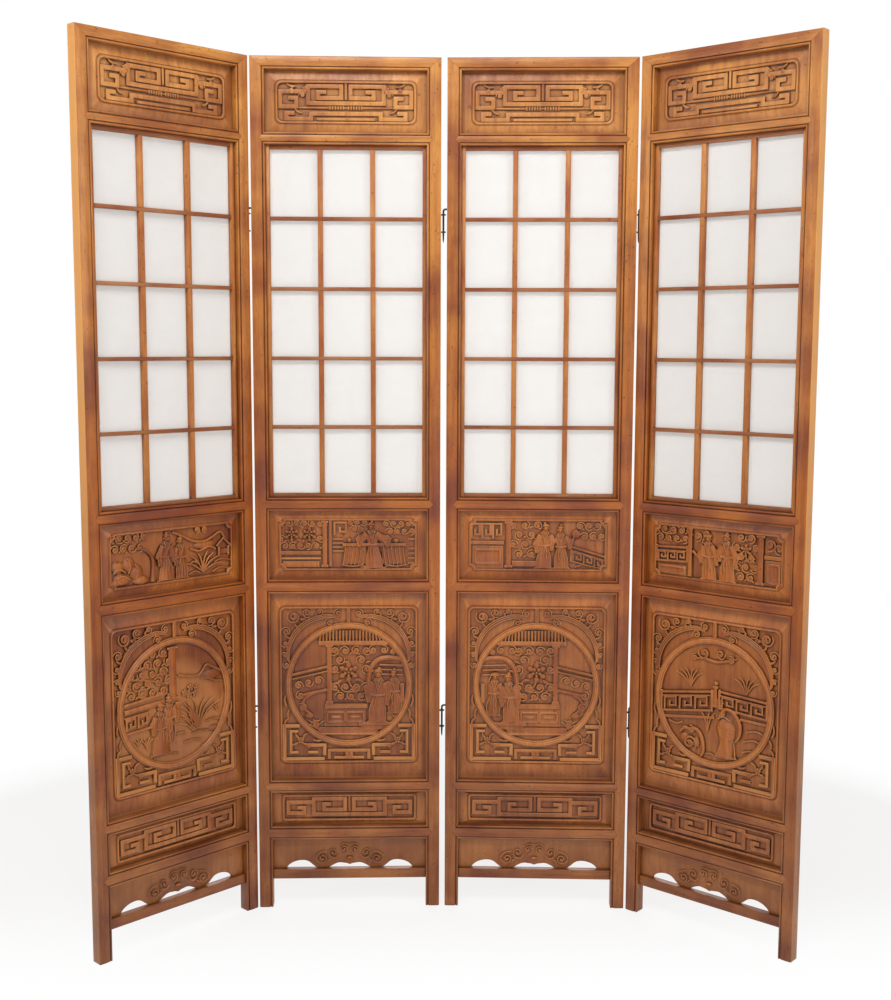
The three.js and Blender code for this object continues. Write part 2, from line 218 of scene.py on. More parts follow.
def makeCamera():
    view = {"place": (-0.10935, -3.11238, 1.42452), "lens": 48.104, "sensor": 36,
            "yaw": 1.9957, "pitch": 6.662, "roll": 0.2029}
    yaw, pitch, roll = (math.radians(view[name]) for name in ("yaw", "pitch", "roll"))
    ahead = Vector((math.sin(yaw) * math.cos(pitch), math.cos(yaw) * math.cos(pitch), -math.sin(pitch)))
    side = Vector((math.cos(yaw), -math.sin(yaw), 0))
    up = side.cross(ahead)
    rolledSide = side * math.cos(roll) + up * math.sin(roll)
    rolledUp = up * math.cos(roll) - side * math.sin(roll)
    data = bpy.data.cameras.new("camera")
    data.lens = view["lens"]
    data.sensor_width = view["sensor"]
    camera = bpy.data.objects.new("camera", data)
    turn = Matrix((rolledSide, rolledUp, -ahead)).transposed().to_4x4()
    camera.matrix_world = Matrix.Translation(view["place"]) @ turn
    bpy.context.scene.collection.objects.link(camera)
    bpy.context.scene.camera = camera


def colour(code):   # sRGB hex to linear
    channels = [int(code[i:i + 2], 16) / 255 for i in (1, 3, 5)]
    linear = [c / 12.92 if c <= 0.04045 else ((c + 0.055) / 1.055) ** 2.4 for c in channels]
    return (*linear, 1)


def addNode(tree, kind, settings=None, **inputs):
    node = tree.nodes.new("ShaderNode" + kind)
    for name, value in (settings or {}).items():
        setattr(node, name, value)
    for name, value in inputs.items():
        socket = node.inputs[int(name[1:])] if name[0] == "_" else node.inputs[name.replace("_", " ")]
        if isinstance(value, bpy.types.NodeSocket):
            tree.links.new(value, socket)
        else:
            socket.default_value = value
    return node


def mixColour(tree, share, first, second, blend="MIX"):
    node = addNode(tree, "Mix", {"data_type": "RGBA", "blend_type": blend}, _0=share, _6=first, _7=second)
    return node.outputs[2]


def remap(tree, value, low, high, least=0.0, most=1.0, curve="LINEAR"):
    node = addNode(tree, "MapRange", {"interpolation_type": curve}, Value=value, From_Min=low,
                   From_Max=high, To_Min=least, To_Max=most)
    return node.outputs[0]


def arithmetic(tree, operation, *values):
    sockets = {f"_{i}": value for i, value in enumerate(values)}
    return addNode(tree, "Math", {"operation": operation}, **sockets).outputs[0]


def noise(tree, place, scale, detail, roughness=0.5, output="Fac"):
    node = addNode(tree, "TexNoise", Vector=place, Scale=scale, Detail=detail, Roughness=roughness)
    return node.outputs[output]


def emptyTree(holder):   # the node tree of a new material or world, with nothing in it
    holder.use_nodes = True
    holder.node_tree.nodes.clear()
    return holder.node_tree


def raysToBackdrop(tree, *kinds):   # 1 for the rays that only look at the background
    rays = addNode(tree, "LightPath").outputs
    seen = rays["Is Camera Ray"]
    for kind in kinds:
        seen = arithmetic(tree, "MAXIMUM", seen, rays[kind])
    return seen


def softbox(name, place, target, width, height, power, tint):
    data = bpy.data.lights.new(name, "AREA")
    data.shape = "RECTANGLE"
    data.size = width
    data.size_y = height
    data.energy = power
    data.color = colour(tint)[:3]
    lamp = bpy.data.objects.new(name, data)
    aim = (Vector(target) - Vector(place)).to_track_quat("-Z", "Y")
    lamp.matrix_world = Matrix.Translation(place) @ aim.to_matrix().to_4x4()
    bpy.context.scene.collection.objects.link(lamp)


def makeLamps():
    lamps = {
        "keyAbove": ((-0.6, -2.1, 3.5), (0, 0, 1.2), 1.9, 0.9, 51, "#FFFFFF"),
        "fillRight": ((2.8, -2.4, 1.7), (0, 0, 1.0), 1.6, 2.0, 33, "#FFFFFF"),
        "edgeLeft": ((-3.0, -1.3, 1.9), (-0.6, 0, 1.2), 0.9, 1.8, 16, "#FFFFFF"),
        "lowFront": ((0.2, -2.9, 0.5), (0, 0, 0.45), 2.2, 0.7, 8, "#FFFFFF"),
        "backSoft": ((0.2, 2.9, 2.2), (0, 0, 1.0), 2.4, 1.6, 38, "#FFFFFF"),
    }
    for name, (place, target, width, height, power, tint) in lamps.items():
        softbox(name, place, target, width, height, power, tint)


def makeFloor():   # matt, white to the eye, keeps a faint shadow
    deselect()
    bpy.ops.mesh.primitive_plane_add(size=14, location=(0, 0, -0.0006))
    floor = bpy.context.object
    floor.name = "studio_floor"
    paint = bpy.data.materials.new("painted studio floor")
    tree = emptyTree(paint)
    seen = raysToBackdrop(tree, "Is Glossy Ray")
    place = addNode(tree, "TexCoord").outputs["Object"]
    away = addNode(tree, "VectorMath", {"operation": "LENGTH"}, _0=place).outputs["Value"]
    faded = remap(tree, away, 0.9, 2.0, curve="SMOOTHSTEP")   # the shadow fades into white paint
    depth = addNode(tree, "SeparateXYZ", Vector=place).outputs["Y"]
    front = remap(tree, depth, 0.35, -0.35, 0.76, 1.0, "SMOOTHSTEP")   # and is faint before the screen
    share = arithmetic(tree, "MULTIPLY", seen, arithmetic(tree, "MAXIMUM", faded, front))
    matt = addNode(tree, "BsdfDiffuse", Color=colour("#FAF6F3"))
    white = addNode(tree, "Emission", Color=(1, 1, 1, 1), Strength=1.0)
    mixed = addNode(tree, "MixShader", _0=share, _1=matt.outputs[0], _2=white.outputs[0])
    addNode(tree, "OutputMaterial", Surface=mixed.outputs[0])
    floor.data.materials.append(paint)


def makeWorld():
    world = bpy.data.worlds.new("studio")
    tree = emptyTree(world)
    seen = raysToBackdrop(tree, "Is Glossy Ray", "Is Transmission Ray")
    ambient = addNode(tree, "Background", Color=colour("#FFFFFF"), Strength=0.27)
    backdrop = addNode(tree, "Background", Color=(1, 1, 1, 1), Strength=1.0)
    mixed = addNode(tree, "MixShader", _0=seen, _1=ambient.outputs[0], _2=backdrop.outputs[0])
    addNode(tree, "OutputWorld", Surface=mixed.outputs[0])
    bpy.context.scene.world = world
    bpy.context.scene.view_settings.view_transform = "Standard"


makeCamera()
makeLamps()
makeFloor()
makeWorld()
print("camera, floor and light are set")


# Materials

def waxedElm(name, grain, tones, roughness=0.36):
    # Elm, planed, stained and waxed: long open grain, darker growth rings, a soft sheen, old wax and dirt
    # in the hollows with painted shade over them, painted light towards the top and on the outer stile
    # edges, and a painted highlight on carved edges. It reads the attribute "flat", the place on the flat
    # panel.
    material = bpy.data.materials.new(name)
    tree = emptyTree(material)
    flat = addNode(tree, "Attribute", {"attribute_name": "flat"}).outputs["Vector"]
    board = addNode(tree, "Attribute", {"attribute_name": "board"}).outputs["Fac"]
    shift = addNode(tree, "VectorMath", {"operation": "SCALE"}, _0=(0.37, 0.11, 0.53), Scale=board)
    moved = addNode(tree, "VectorMath", {"operation": "ADD"}, _0=flat, _1=shift.outputs[0]).outputs[0]
    along = {"upright": (1, 1, 0.045), "level": (0.045, 1, 1)}[grain]   # grain is drawn out 22 times
    run = addNode(tree, "Mapping", Vector=moved, Scale=along).outputs[0]
    waver = addNode(tree, "VectorMath", {"operation": "MULTIPLY_ADD"}, _1=(0.012, 0.012, 0.012), _2=run,
                    _0=noise(tree, moved, 9, 2, output="Color")).outputs[0]
    rings = noise(tree, waver, 95, 4, 0.62)   # growth rings about 10 mm apart
    pores = noise(tree, run, 620, 3, 0.7)   # open pores, drawn near 1.6 mm wide so that they show
    knots = addNode(tree, "TexVoronoi", {"feature": "F1"}, Vector=waver, Scale=16).outputs["Distance"]
    place = addNode(tree, "SeparateXYZ", Vector=flat).outputs

    # lighter at the top, deepest in the middle, duller at the foot: partly uneven stain, partly painted light
    # from above
    wood = mixColour(tree, remap(tree, place["Z"], 0.25, 0.8), colour(tones["low"]), colour(tones["middle"]))
    wood = mixColour(tree, remap(tree, place["Z"], 1.15, 1.9), wood, colour(tones["high"]))
    darker = [
        (remap(tree, rings, 0.34, 0.68, most=tones["figure"]), tones["ring"]),
        (remap(tree, noise(tree, moved, 6.5, 3), 0.4, 0.66, most=0.8), tones["cloud"]),   # stain, 150 mm
        (remap(tree, knots, 0.02, 0.16, 0.55, 0.0), "#8A5A3A"),
        (remap(tree, pores, 0.52, 0.8, most=0.55), "#8C6044"),
        (remap(tree, noise(tree, moved, 120, 2), 0.66, 0.74, most=0.6), "#6A452E"),   # small dents
    ]
    for share, tone in darker:
        wood = mixColour(tree, share, wood, colour(tone), "MULTIPLY")

    # old wax and dirt lie in every inner corner, and painted shade darkens deep surfaces and occluded
    # corners further; the high edges of carving are rubbed lighter and carry a painted highlight
    # painted shade: surfaces lying deeper are painted darker, over the old wax there
    deep = remap(tree, place["Y"], tones["clear"] * mm, tones["deep"] * mm, 0.0, tones["sunk"], "SMOOTHSTEP")
    # painted shade: occlusion paints corners and creases darker, over the dirt there
    corner = addNode(tree, "AmbientOcclusion", {"samples": 6}, Distance=tones["reach"] * mm).outputs["AO"]
    hollow = remap(tree, corner, 0.97, tones["crevice"], 0.0, tones["dirt_and_shade"])
    dirt_and_painted_shade = arithmetic(tree, "MAXIMUM", deep, hollow)
    wood = mixColour(tree, dirt_and_painted_shade, wood, colour(tones["grime_and_shade_tone"]), "MULTIPLY")
    # wear with a painted highlight: sharp convex edges are painted lighter
    rubbed_and_highlight = remap(tree, addNode(tree, "NewGeometry").outputs["Pointiness"], 0.51, 0.58, most=tones["wear_and_highlight"])
    wood = mixColour(tree, rubbed_and_highlight, wood, colour(tones["rubbed_and_highlight"]))

    # the outer edges of the stiles are painted lighter and more orange, most towards the top: painted light
    # from the side
    apart = arithmetic(tree, "ABSOLUTE", arithmetic(tree, "SUBTRACT", place["X"], panel["centre"] * mm))
    painted_edge_light = remap(tree, apart, 0.2260, 0.2273, most=0.8)
    edge_light_by_height = remap(tree, place["Z"], 0.4, 1.3, least=0.15)
    # painted light: a pale orange laid over the outer edges of the stiles
    wood = mixColour(tree, arithmetic(tree, "MULTIPLY", painted_edge_light, edge_light_by_height), wood, colour("#F0A850"))

    gloss = remap(tree, rings, 0.3, 0.7, roughness - 0.06, roughness + 0.12)
    grainLift = arithmetic(tree, "MULTIPLY_ADD", pores, -0.6, rings)
    bump = addNode(tree, "Bump", Strength=0.22, Distance=0.0008, Height=grainLift)
    shader = addNode(tree, "BsdfPrincipled", Base_Color=wood, Roughness=gloss, IOR=1.5,
                     Normal=bump.outputs[0])
    addNode(tree, "OutputMaterial", Surface=shader.outputs[0])
    return material


def windowPaper():
    # Mulberry paper, hand laid and pasted: matt, warm white, with long fibres and a cloudy thickness
    material = bpy.data.materials.new("mulberry paper, hand laid")
    tree = emptyTree(material)
    flat = addNode(tree, "Attribute", {"attribute_name": "flat"}).outputs["Vector"]
    stretched = addNode(tree, "Mapping", Vector=flat, Scale=(1.0, 1.0, 0.18)).outputs[0]
    fibre = noise(tree, stretched, 900, 3)
    sheet = mixColour(tree, noise(tree, flat, 14, 4), colour("#FAF7F2"), colour("#F3EEE7"))
    sheet = mixColour(tree, remap(tree, fibre, 0.3, 0.8, most=0.35), sheet, colour("#F4F0EA"), "MULTIPLY")
    bump = addNode(tree, "Bump", Strength=0.15, Distance=0.0003, Height=fibre)
    shader = addNode(tree, "BsdfPrincipled", Base_Color=sheet, Roughness=0.85, IOR=1.5,
                     Subsurface_Weight=1.0, Subsurface_Radius=(1.0, 1.0, 1.0), Subsurface_Scale=0.004,
                     Normal=bump.outputs[0])   # thin enough that light comes through
    addNode(tree, "OutputMaterial", Surface=shader.outputs[0])
    return material


def forgedIron():
    # Wrought iron wire, forged and blackened: dark, dull, hammered, with a little brown rust
    material = bpy.data.materials.new("wrought iron, forged and blackened")
    tree = emptyTree(material)
    place = addNode(tree, "TexCoord").outputs["Object"]
    hammered = addNode(tree, "TexVoronoi", {"feature": "SMOOTH_F1"}, Vector=place,
                       Scale=420)   # hammer facets 2.4 mm across
    rust = remap(tree, noise(tree, place, 160, 5), 0.5, 0.72)
    black = mixColour(tree, rust, colour("#3B3735"), colour("#5A3B2C"))
    dull = remap(tree, rust, 0.0, 1.0, 0.42, 0.8)
    bump = addNode(tree, "Bump", Strength=0.5, Distance=0.0004, Height=hammered.outputs["Distance"])
    shader = addNode(tree, "BsdfPrincipled", Base_Color=black, Metallic=0.85, Roughness=dull,
                     Normal=bump.outputs[0])
    addNode(tree, "OutputMaterial", Surface=shader.outputs[0])
    return material


# each tone set holds the wood colours by height (with painted light towards the top), the dark colour and
# amounts for the hollows (old wax and dirt with painted shade), and the light colour and amount for rubbed
# carved edges (wear with a painted highlight)
frameTones = {"high": "#E09A48", "middle": "#B66614", "low": "#B07038", "ring": "#BA8658", "figure": 0.6,
              "cloud": "#A87446", "grime_and_shade_tone": "#2A140A", "rubbed_and_highlight": "#D89A62", "clear": -12.6, "deep": -9.0,
              "sunk": 0.1, "dirt_and_shade": 0.75, "reach": 5, "crevice": 0.38, "wear_and_highlight": 0}
boardTones = {"high": "#E29E50", "middle": "#C47428", "low": "#BA763A", "ring": "#C4946A", "figure": 0.6,
              "cloud": "#A8764C", "grime_and_shade_tone": "#4A2A18", "rubbed_and_highlight": "#D89458", "clear": -1.5, "deep": 3.4,
              "sunk": 0.3, "dirt_and_shade": 0.92, "reach": 8, "crevice": 0.44, "wear_and_highlight": 0.3}
reliefTones = {"high": "#D8924A", "middle": "#BA6C26", "low": "#B46C30", "ring": "#C0906A", "figure": 0.5,
               "cloud": "#A87648", "grime_and_shade_tone": "#160904", "rubbed_and_highlight": "#DC984E", "clear": -3.0, "deep": 2.2,
               "sunk": 0.75, "dirt_and_shade": 1.0, "reach": 8, "crevice": 0.56, "wear_and_highlight": 0.8}
sashTones = {"high": "#D8954F", "middle": "#C8863E", "low": "#C0804A", "ring": "#CC9C70", "figure": 0.7,
             "cloud": "#CC9A68", "grime_and_shade_tone": "#4A2C1A", "rubbed_and_highlight": "#DCA26C", "clear": 1.0, "deep": 9.0,
             "sunk": 0.2, "dirt_and_shade": 0.6, "reach": 6, "crevice": 0.35, "wear_and_highlight": 0}
elmUpright = waxedElm("waxed elm, planed, grain upright", "upright", frameTones)
elmLevel = waxedElm("waxed elm, planed, grain level", "level", frameTones)
elmBoard = waxedElm("waxed elm board, bevelled by plane", "upright", boardTones, 0.38)
elmCarved = waxedElm("waxed elm, chisel carved", "upright", reliefTones)
# the cross bars hold more dust
sashDarkTones = dict(sashTones, high="#B87A48", middle="#A9703E", low="#A06C42")
elmSashUpright = waxedElm("waxed elm sash bar, grain upright", "upright", sashTones, 0.5)
elmSashLevel = waxedElm("waxed elm sash bar, grain level", "level", sashDarkTones, 0.5)
paperWhite = windowPaper()
ironBlack = forgedIron()


# Putting copies of a flat piece on the panels

def setFlat(piece, number):
    count = len(piece.data.vertices)
    values = [0.0] * (3 * count)
    piece.data.vertices.foreach_get("co", values)
    flat = piece.data.attributes.new("flat", "FLOAT_VECTOR", "POINT")
    flat.data.foreach_set("vector", values)
    board = piece.data.attributes.new("board", "FLOAT", "POINT")
    board.data.foreach_set("value", [number] * count)


def dress(piece, material):
    piece.data.materials.clear()
    piece.data.materials.append(material)


def install(flatPiece, name, number, nodes, material):
    # a copy with its own mesh goes to its panel (counted from 1) and stands for the CAD nodes
    piece = bpy.data.objects.new(f"{name}_{number}", flatPiece.data.copy())
    bpy.context.scene.collection.objects.link(piece)
    setFlat(piece, random.uniform(0, 10))
    piece.data.transform(places[number - 1])
    dress(piece, material)
    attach(piece, f"panel_{number}")
    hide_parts(*nodes)
    return piece


def installAll(flatPiece, name, node, material, numbers=(1, 2, 3, 4)):
    for number in numbers:
        install(flatPiece, name, number, [f"panel_{number}_{node}"], material)
    bpy.data.objects.remove(flatPiece)


# Frame

moulding = {"bead": 2.5, "sink": 0.5, "quirk": 2.0, "quirkDepth": 3.2, "crown": 0.8, "arris": 2.0,
            "railBack": 14, "lapBack": -5, "steps": 8, "crownSteps": 6}
tenon = {"front": -4, "back": 5, "inset": 7, "short": 0.2}
boardCut = {"front": 3, "back": 11, "tongue": 5, "ground": 1.5, "field": -2.5, "fret": -3.6, "rim": -5}


def crownedFace(start, end):   # (across, depth) of a planed face that swells a little in its middle
    steps = moulding["crownSteps"]
    points = []
    for i in range(steps + 1):
        t = i / steps
        rise = moulding["crown"] * (1 - (2 * t - 1) ** 2)
        points.append((start + (end - start) * t, -panel["half"] + moulding["crown"] - rise))
    return points


def stileSection(mirrored):
    half, bead, quirk = panel["half"], moulding["bead"], moulding["quirk"]
    face = -half + moulding["crown"]
    beadDepth = -half + moulding["sink"] + bead
    inner = panel["stile"] - 2 * bead - quirk
    points = [(0, half - 0.8), (0, face + moulding["arris"])]
    points += arc(moulding["arris"], face + moulding["arris"], moulding["arris"], 180, 270, 4)[1:-1]
    points += crownedFace(moulding["arris"], inner)
    points += [(inner + quirk / 2, -half + moulding["quirkDepth"])]
    points += arc(panel["stile"] - bead, beadDepth, bead, 180, 360, moulding["steps"])
    points += [(panel["stile"], half - 0.8), (panel["stile"] - 0.8, half), (0.8, half)]
    return [(panel["width"] - x if mirrored else x, y) for x, y in points]


def railSection(bottom, top, capping):
    half, bead, quirk, arris = panel["half"], moulding["bead"], moulding["quirk"], moulding["arris"]
    beadDepth = -half + moulding["sink"] + bead
    mould = 2 * bead + quirk
    low, high = bottom + mould, top - (arris if capping else mould)
    points = [(bottom, moulding["railBack"])]
    points += [(z, y) for y, z in arc(beadDepth, bottom + bead, bead, -90, -270, moulding["steps"])]
    points += [(low - quirk / 2, -half + moulding["quirkDepth"])]
    points += crownedFace(low, high)
    if capping:
        face = -half + moulding["crown"]
        points += [(top - arris + y, z) for y, z in arc(0, face + arris, arris, -60, 0, 3)]
    else:
        points += [(high + quirk / 2, -half + moulding["quirkDepth"])]
        points += [(z, y) for y, z in arc(beadDepth, top - bead, bead, -90, -270, moulding["steps"])]
    points += [(top, moulding["railBack"])]
    return points


def pointedLap(bottom, top, grow):
    z0, z1 = bottom - grow, top + grow
    reach, mid = (z1 - z0) / 2, (z0 + z1) / 2
    left, right = panel["left"], panel["right"]
    return [(left, z0), (right, z0), (right + reach, mid), (right, z1), (left, z1), (left - reach, mid)]


def mitredLap(bottom, top, grow):
    slope = panel["left"] / (top - bottom)
    shift = grow * math.hypot(1, slope)
    low = panel["left"] - shift + slope * grow
    high = panel["left"] - shift - slope * (top + grow - bottom)
    width = panel["width"]
    return [(low, bottom - grow), (width - low, bottom - grow),
            (width - high, top + grow), (high, top + grow)]


def lapFor(name, grow):
    top, height = rod[name]
    if name == "top":
        return mitredLap(top - height, top, grow)
    return pointedLap(top - height, top, grow * math.sqrt(2))


def tenonFor(name, grow):
    top, height = rod[name]
    end = -1 if grow else tenon["short"]
    return block(end, panel["width"] - end, tenon["front"] - grow, tenon["back"] + grow,
                 top - height + tenon["inset"] - grow, top - tenon["inset"] + grow)


def opening(below, above):
    return rod[below][0], rod[above][0] - rod[above][1]


openings = {"top": opening("head", "top"), "waist": opening("waist", "sill"),
            "medallion": opening("low", "waist"), "low": opening("apron", "low"),
            "apron": opening("foot", "apron"), "window": opening("sill", "head")}


def grooves():
    depth = boardCut["tongue"] + gap
    cutters = []
    for name in ("top", "waist", "medallion", "low", "apron"):
        z0, z1 = openings[name]
        cutters.append(block(panel["left"] - depth, panel["right"] + depth, boardCut["front"] - gap,
                             boardCut["back"] + gap, z0 - depth, z1 + depth))
    return cutters


def makeStile(mirrored):
    section = [(x, y, 0) for x, y in stileSection(mirrored)]
    stile = prism(section, (0, 0, panel["height"]))
    activate(stile)
    bpy.ops.object.mode_set(mode="EDIT")   # the foot is eased all round
    bpy.ops.mesh.select_all(action="DESELECT")
    bpy.ops.object.mode_set(mode="OBJECT")
    for polygon in stile.data.polygons:
        polygon.select = polygon.center.z < 0.1 * mm and abs(polygon.normal.z) > 0.9
    bpy.ops.object.mode_set(mode="EDIT")
    bpy.ops.mesh.select_mode(type="FACE")
    bpy.ops.mesh.bevel(offset=2.2 * mm, segments=3, affect="EDGES")
    bpy.ops.object.mode_set(mode="OBJECT")
    cutters = [tenonFor(name, gap) for name in rod]
    for name in rod:
        if name != "foot":
            cutters.append(plate(lapFor(name, gap), -panel["half"] - 1, moulding["lapBack"] + gap))
    boolean(stile, join(cutters), "DIFFERENCE")
    boolean(stile, join(grooves()), "DIFFERENCE")
    return smooth(stile)


def makeRail(name):
    top, height = rod[name]
    bottom = top - height
    if name == "foot":
        rail = block(panel["left"] + gap, panel["right"] - gap, -6, 13, bottom, top)
        easeEdges(rail, 1.2, 3)
        return smooth(boolean(rail, tenonFor(name, 0), "UNION"))
    section = [(0, y, z) for z, y in railSection(bottom, top, name == "top")]
    rail = prism(section, (panel["width"], 0, 0))
    ends = plate(lapFor(name, 0), -panel["half"] - 1, moulding["lapBack"])
    boolean(ends, block(panel["left"] + gap, panel["right"] - gap, -panel["half"] - 1,
                        moulding["railBack"] + 1, bottom - 1, top + 1), "UNION")
    boolean(ends, tenonFor(name, 0), "UNION")
    boolean(rail, ends, "INTERSECT")
    boolean(rail, join(grooves()), "DIFFERENCE")
    return smooth(rail)


for side, mirrored in (("left", False), ("right", True)):
    installAll(makeStile(mirrored), f"{side}_stile", f"stile_{side}", elmUpright)
railNodes = {"top": "top_rail", "head": "head_rail", "sill": "waist_unit", "waist": "waist_unit",
             "low": "low_rail", "apron": "apron_rail", "foot": "apron_unit"}
for name, node in railNodes.items():
    title = "foot_rail_plain" if name == "foot" else f"{name}_rail_moulded"
    installAll(makeRail(name), title, node, elmLevel)
print("stiles and rails are in")


# Boards

rims = {
    "top": {"halfWidth": 168, "z0": 1945, "z1": 2045, "radius": 14, "scooped": False},
    "waist": {"halfWidth": 170, "z0": 866, "z1": 995, "radius": 12, "scooped": True},
    "medallion": {"halfWidth": 172, "z0": 374, "z1": 775, "radius": 14, "scooped": False},
    "low": {"halfWidth": 169, "z0": 223, "z1": 292, "radius": 7, "scooped": False},
}
rimWidth = 6


def beadLoop(outline, depth, radius):   # a half-sunk round bead along a closed outline
    return cleaned(wires([[(x, depth, z, 1) for x, z in outline]], radius, 3, closed=True))


def makeBoard(name):
    z0, z1 = openings[name]
    cut, rim = boardCut, rims[name]
    tongue, edge = cut["tongue"], 0.5
    x0, x1 = panel["centre"] - rim["halfWidth"], panel["centre"] + rim["halfWidth"]
    board = block(panel["left"] - tongue, panel["right"] + tongue, cut["front"], cut["back"],
                  z0 - tongue, z1 + tongue)
    # the raised field: a block whose front edges are pushed in to the rim, which makes mitred bevels
    field = block(panel["left"] + edge, panel["right"] - edge, cut["field"], cut["front"] + 1,
                  z0 + edge, z1 - edge)
    for vertex in field.data.vertices:
        if vertex.co.y < 0:
            vertex.co.x = (x0 if vertex.co.x < panel["centre"] * mm else x1) * mm
            vertex.co.z = (rim["z0"] if vertex.co.z < (z0 + z1) / 2 * mm else rim["z1"]) * mm
    boolean(board, field, "UNION")
    innerRadius = rim["radius"] if rim["scooped"] else rim["radius"] - rimWidth / 2
    inner = roundedOutline(x0 + rimWidth, x1 - rimWidth, rim["z0"] + rimWidth, rim["z1"] - rimWidth,
                           innerRadius, 8, rim["scooped"])
    boolean(board, plate(inner, -panel["half"], cut["ground"]), "DIFFERENCE")
    middle = rimWidth / 2
    line = roundedOutline(x0 + middle, x1 - middle, rim["z0"] + middle, rim["z1"] - middle,
                          rim["radius"], 8, rim["scooped"])
    boolean(board, beadLoop(line, cut["field"] + 0.2, middle), "UNION")
    aside = 1.4   # a scratched line along the outside of the rim
    groove = roundedOutline(x0 - aside, x1 + aside, rim["z0"] - aside, rim["z1"] + aside,
                            rim["radius"] + (-aside if rim["scooped"] else aside), 8, rim["scooped"])
    return boolean(board, beadLoop(groove, cut["field"], 1.3), "DIFFERENCE")


frets = {
    "top": {"width": 10.4, "post": (2001, 2041), "bars": [
        [(2, 1993), (-90, 1993), (-90, 2032.5), (-11, 2032.5), (-11, 2005), (-66, 2005), (-66, 2019),
         (-46, 2019)],
        [(-90, 2020), (-156, 2020), (-156, 1985), (-118, 1985), (-118, 2005), (-138, 2005)],
        [(2, 1969), (-83, 1969), (-83, 1956.5), (-142, 1956.5), (-142, 1970), (-122, 1970)],
        [(2, 1956), (-70, 1956)]]},
    "low": {"width": 10.4, "post": (247, 288), "bars": [
        [(2, 239), (-90, 239), (-90, 280), (-11, 280), (-11, 251.5), (-64, 251.5), (-64, 266), (-46, 266)],
        [(-90, 271), (-154, 271), (-154, 243), (-114, 243), (-114, 257), (-132, 257)]]},
}


def fretBar(line, width, top):   # a bar in relief with rounded shoulders
    centred = [(panel["centre"] + x, z) for x, z in line]
    bar = plate(barOutline(centred, width), top, boardCut["ground"] + 1)
    return easeEdges(bar, 1.7, 3, 50)


def addFrets(board, name):
    fret = frets[name]
    bars = []
    for line in fret["bars"]:
        width = 7 if len(line) == 2 else fret["width"]
        for sign in (1, -1):
            bars.append(fretBar([(sign * x, z) for x, z in line], width, boardCut["fret"]))
    z0, z1 = fret["post"]
    bars.append(fretBar([(0, z0), (0, z1)], 7, boardCut["fret"] + 1))
    relief = join(bars)
    boolean(board, relief, "UNION", selfCrossing=True)
    return board


for name in ("top", "low"):
    installAll(smooth(addFrets(makeBoard(name), name)), f"{name}_board_carved", f"{name}_board", elmBoard)
installAll(smooth(makeBoard("waist")), "waist_board_framed", "waist_unit", elmBoard)


ring = {"z": 575, "inner": 142, "outer": 160, "rise": 8.5}


def addRing(board):   # a half-round moulding with its other half in the wood
    middle, thick = (ring["inner"] + ring["outer"]) / 2, (ring["outer"] - ring["inner"]) / 2
    deselect()
    bpy.ops.mesh.primitive_torus_add(major_segments=96, minor_segments=20, major_radius=middle * mm,
                                     minor_radius=thick * mm, rotation=(math.pi / 2, 0, 0))
    torus = bpy.context.object
    bpy.ops.object.transform_apply(location=True, rotation=True, scale=True)
    for vertex in torus.data.vertices:
        share = vertex.co.y / mm / thick   # a flattened crest with steep sides
        vertex.co.x += panel["centre"] * mm
        vertex.co.y = math.copysign(abs(share) ** 0.6, share) * ring["rise"] * mm + boardCut["ground"] * mm
        vertex.co.z += ring["z"] * mm
    boolean(board, torus, "UNION")
    for radius in (ring["inner"] + 3.5, ring["outer"] - 3.5):   # a scratched line near both edges
        line = [onCircle(panel["centre"], ring["z"], radius, 3.75 * i) for i in range(96)]
        boolean(board, beadLoop(line, boardCut["ground"] - ring["rise"] + 0.9, 1.1), "DIFFERENCE")
    return board


installAll(smooth(addRing(makeBoard("medallion"))), "medallion_board_framed", "medallion_board", elmBoard)
print("boards are in")


# Carving

carving = {"voxel": 1.0, "sunk": 3.0, "bodySquash": 0.36}
ground = boardCut["ground"]


def newWork():   # what one board carries, gathered before it is made in one go
    return {"fine": [], "broad": [], "bars": [], "domes": []}


def mirrorWork(work, keep=True):   # turns the work over about the centre line, with or without the first half
    middle = 2 * panel["centre"]
    turned = newWork()
    for kind in ("fine", "broad"):
        turned[kind] = [([(middle - u, z, width) for u, z, width in placed], height)
                        for placed, height in work[kind]]
    turned["bars"] = [([(middle - u, z) for u, z in line], width, height)
                      for line, width, height in work["bars"]]
    turned["domes"] = [(middle - u, z, across, up, height, base, -turn)
                       for u, z, across, up, height, base, turn in work["domes"]]
    for kind, items in turned.items():
        work[kind] = (work[kind] if keep else []) + items


def flow(points, steps=5):   # a smooth line through the points
    if len(points) < 3:
        return list(points)
    ends = [points[0]] + list(points) + [points[-1]]
    line = []
    for i in range(len(points) - 1):
        a, b, c, d = (Vector(p) for p in ends[i:i + 4])
        for k in range(steps):
            t = k / steps
            line.append(tuple(0.5 * (2 * b + (c - a) * t + (2 * a - 5 * b + 4 * c - d) * t * t
                                     + (3 * b - a - 3 * c + d) * t ** 3)))
    return line + [tuple(points[-1])]


def stroke(work, points, widths, height=5.5, curved=True, kind="fine"):
    # a round-topped line of relief, its widths spread evenly from start to end
    line = flow(points) if curved else list(points)
    if isinstance(widths, (int, float)):
        widths = (widths, widths)
    placed = []
    for i, (u, z) in enumerate(line):
        t = i / max(len(line) - 1, 1) * (len(widths) - 1)
        k = min(int(t), len(widths) - 2)
        placed.append((u, z, widths[k] + (widths[k + 1] - widths[k]) * (t - k)))
    work[kind].append((placed, height))


def dome(work, u, z, across, up, height, base=0.0, turn=0.0):
    work["domes"].append((u, z, across, up, height, base, turn))


def bar(work, line, width, height=6.0):
    work["bars"].append((line, width, height))


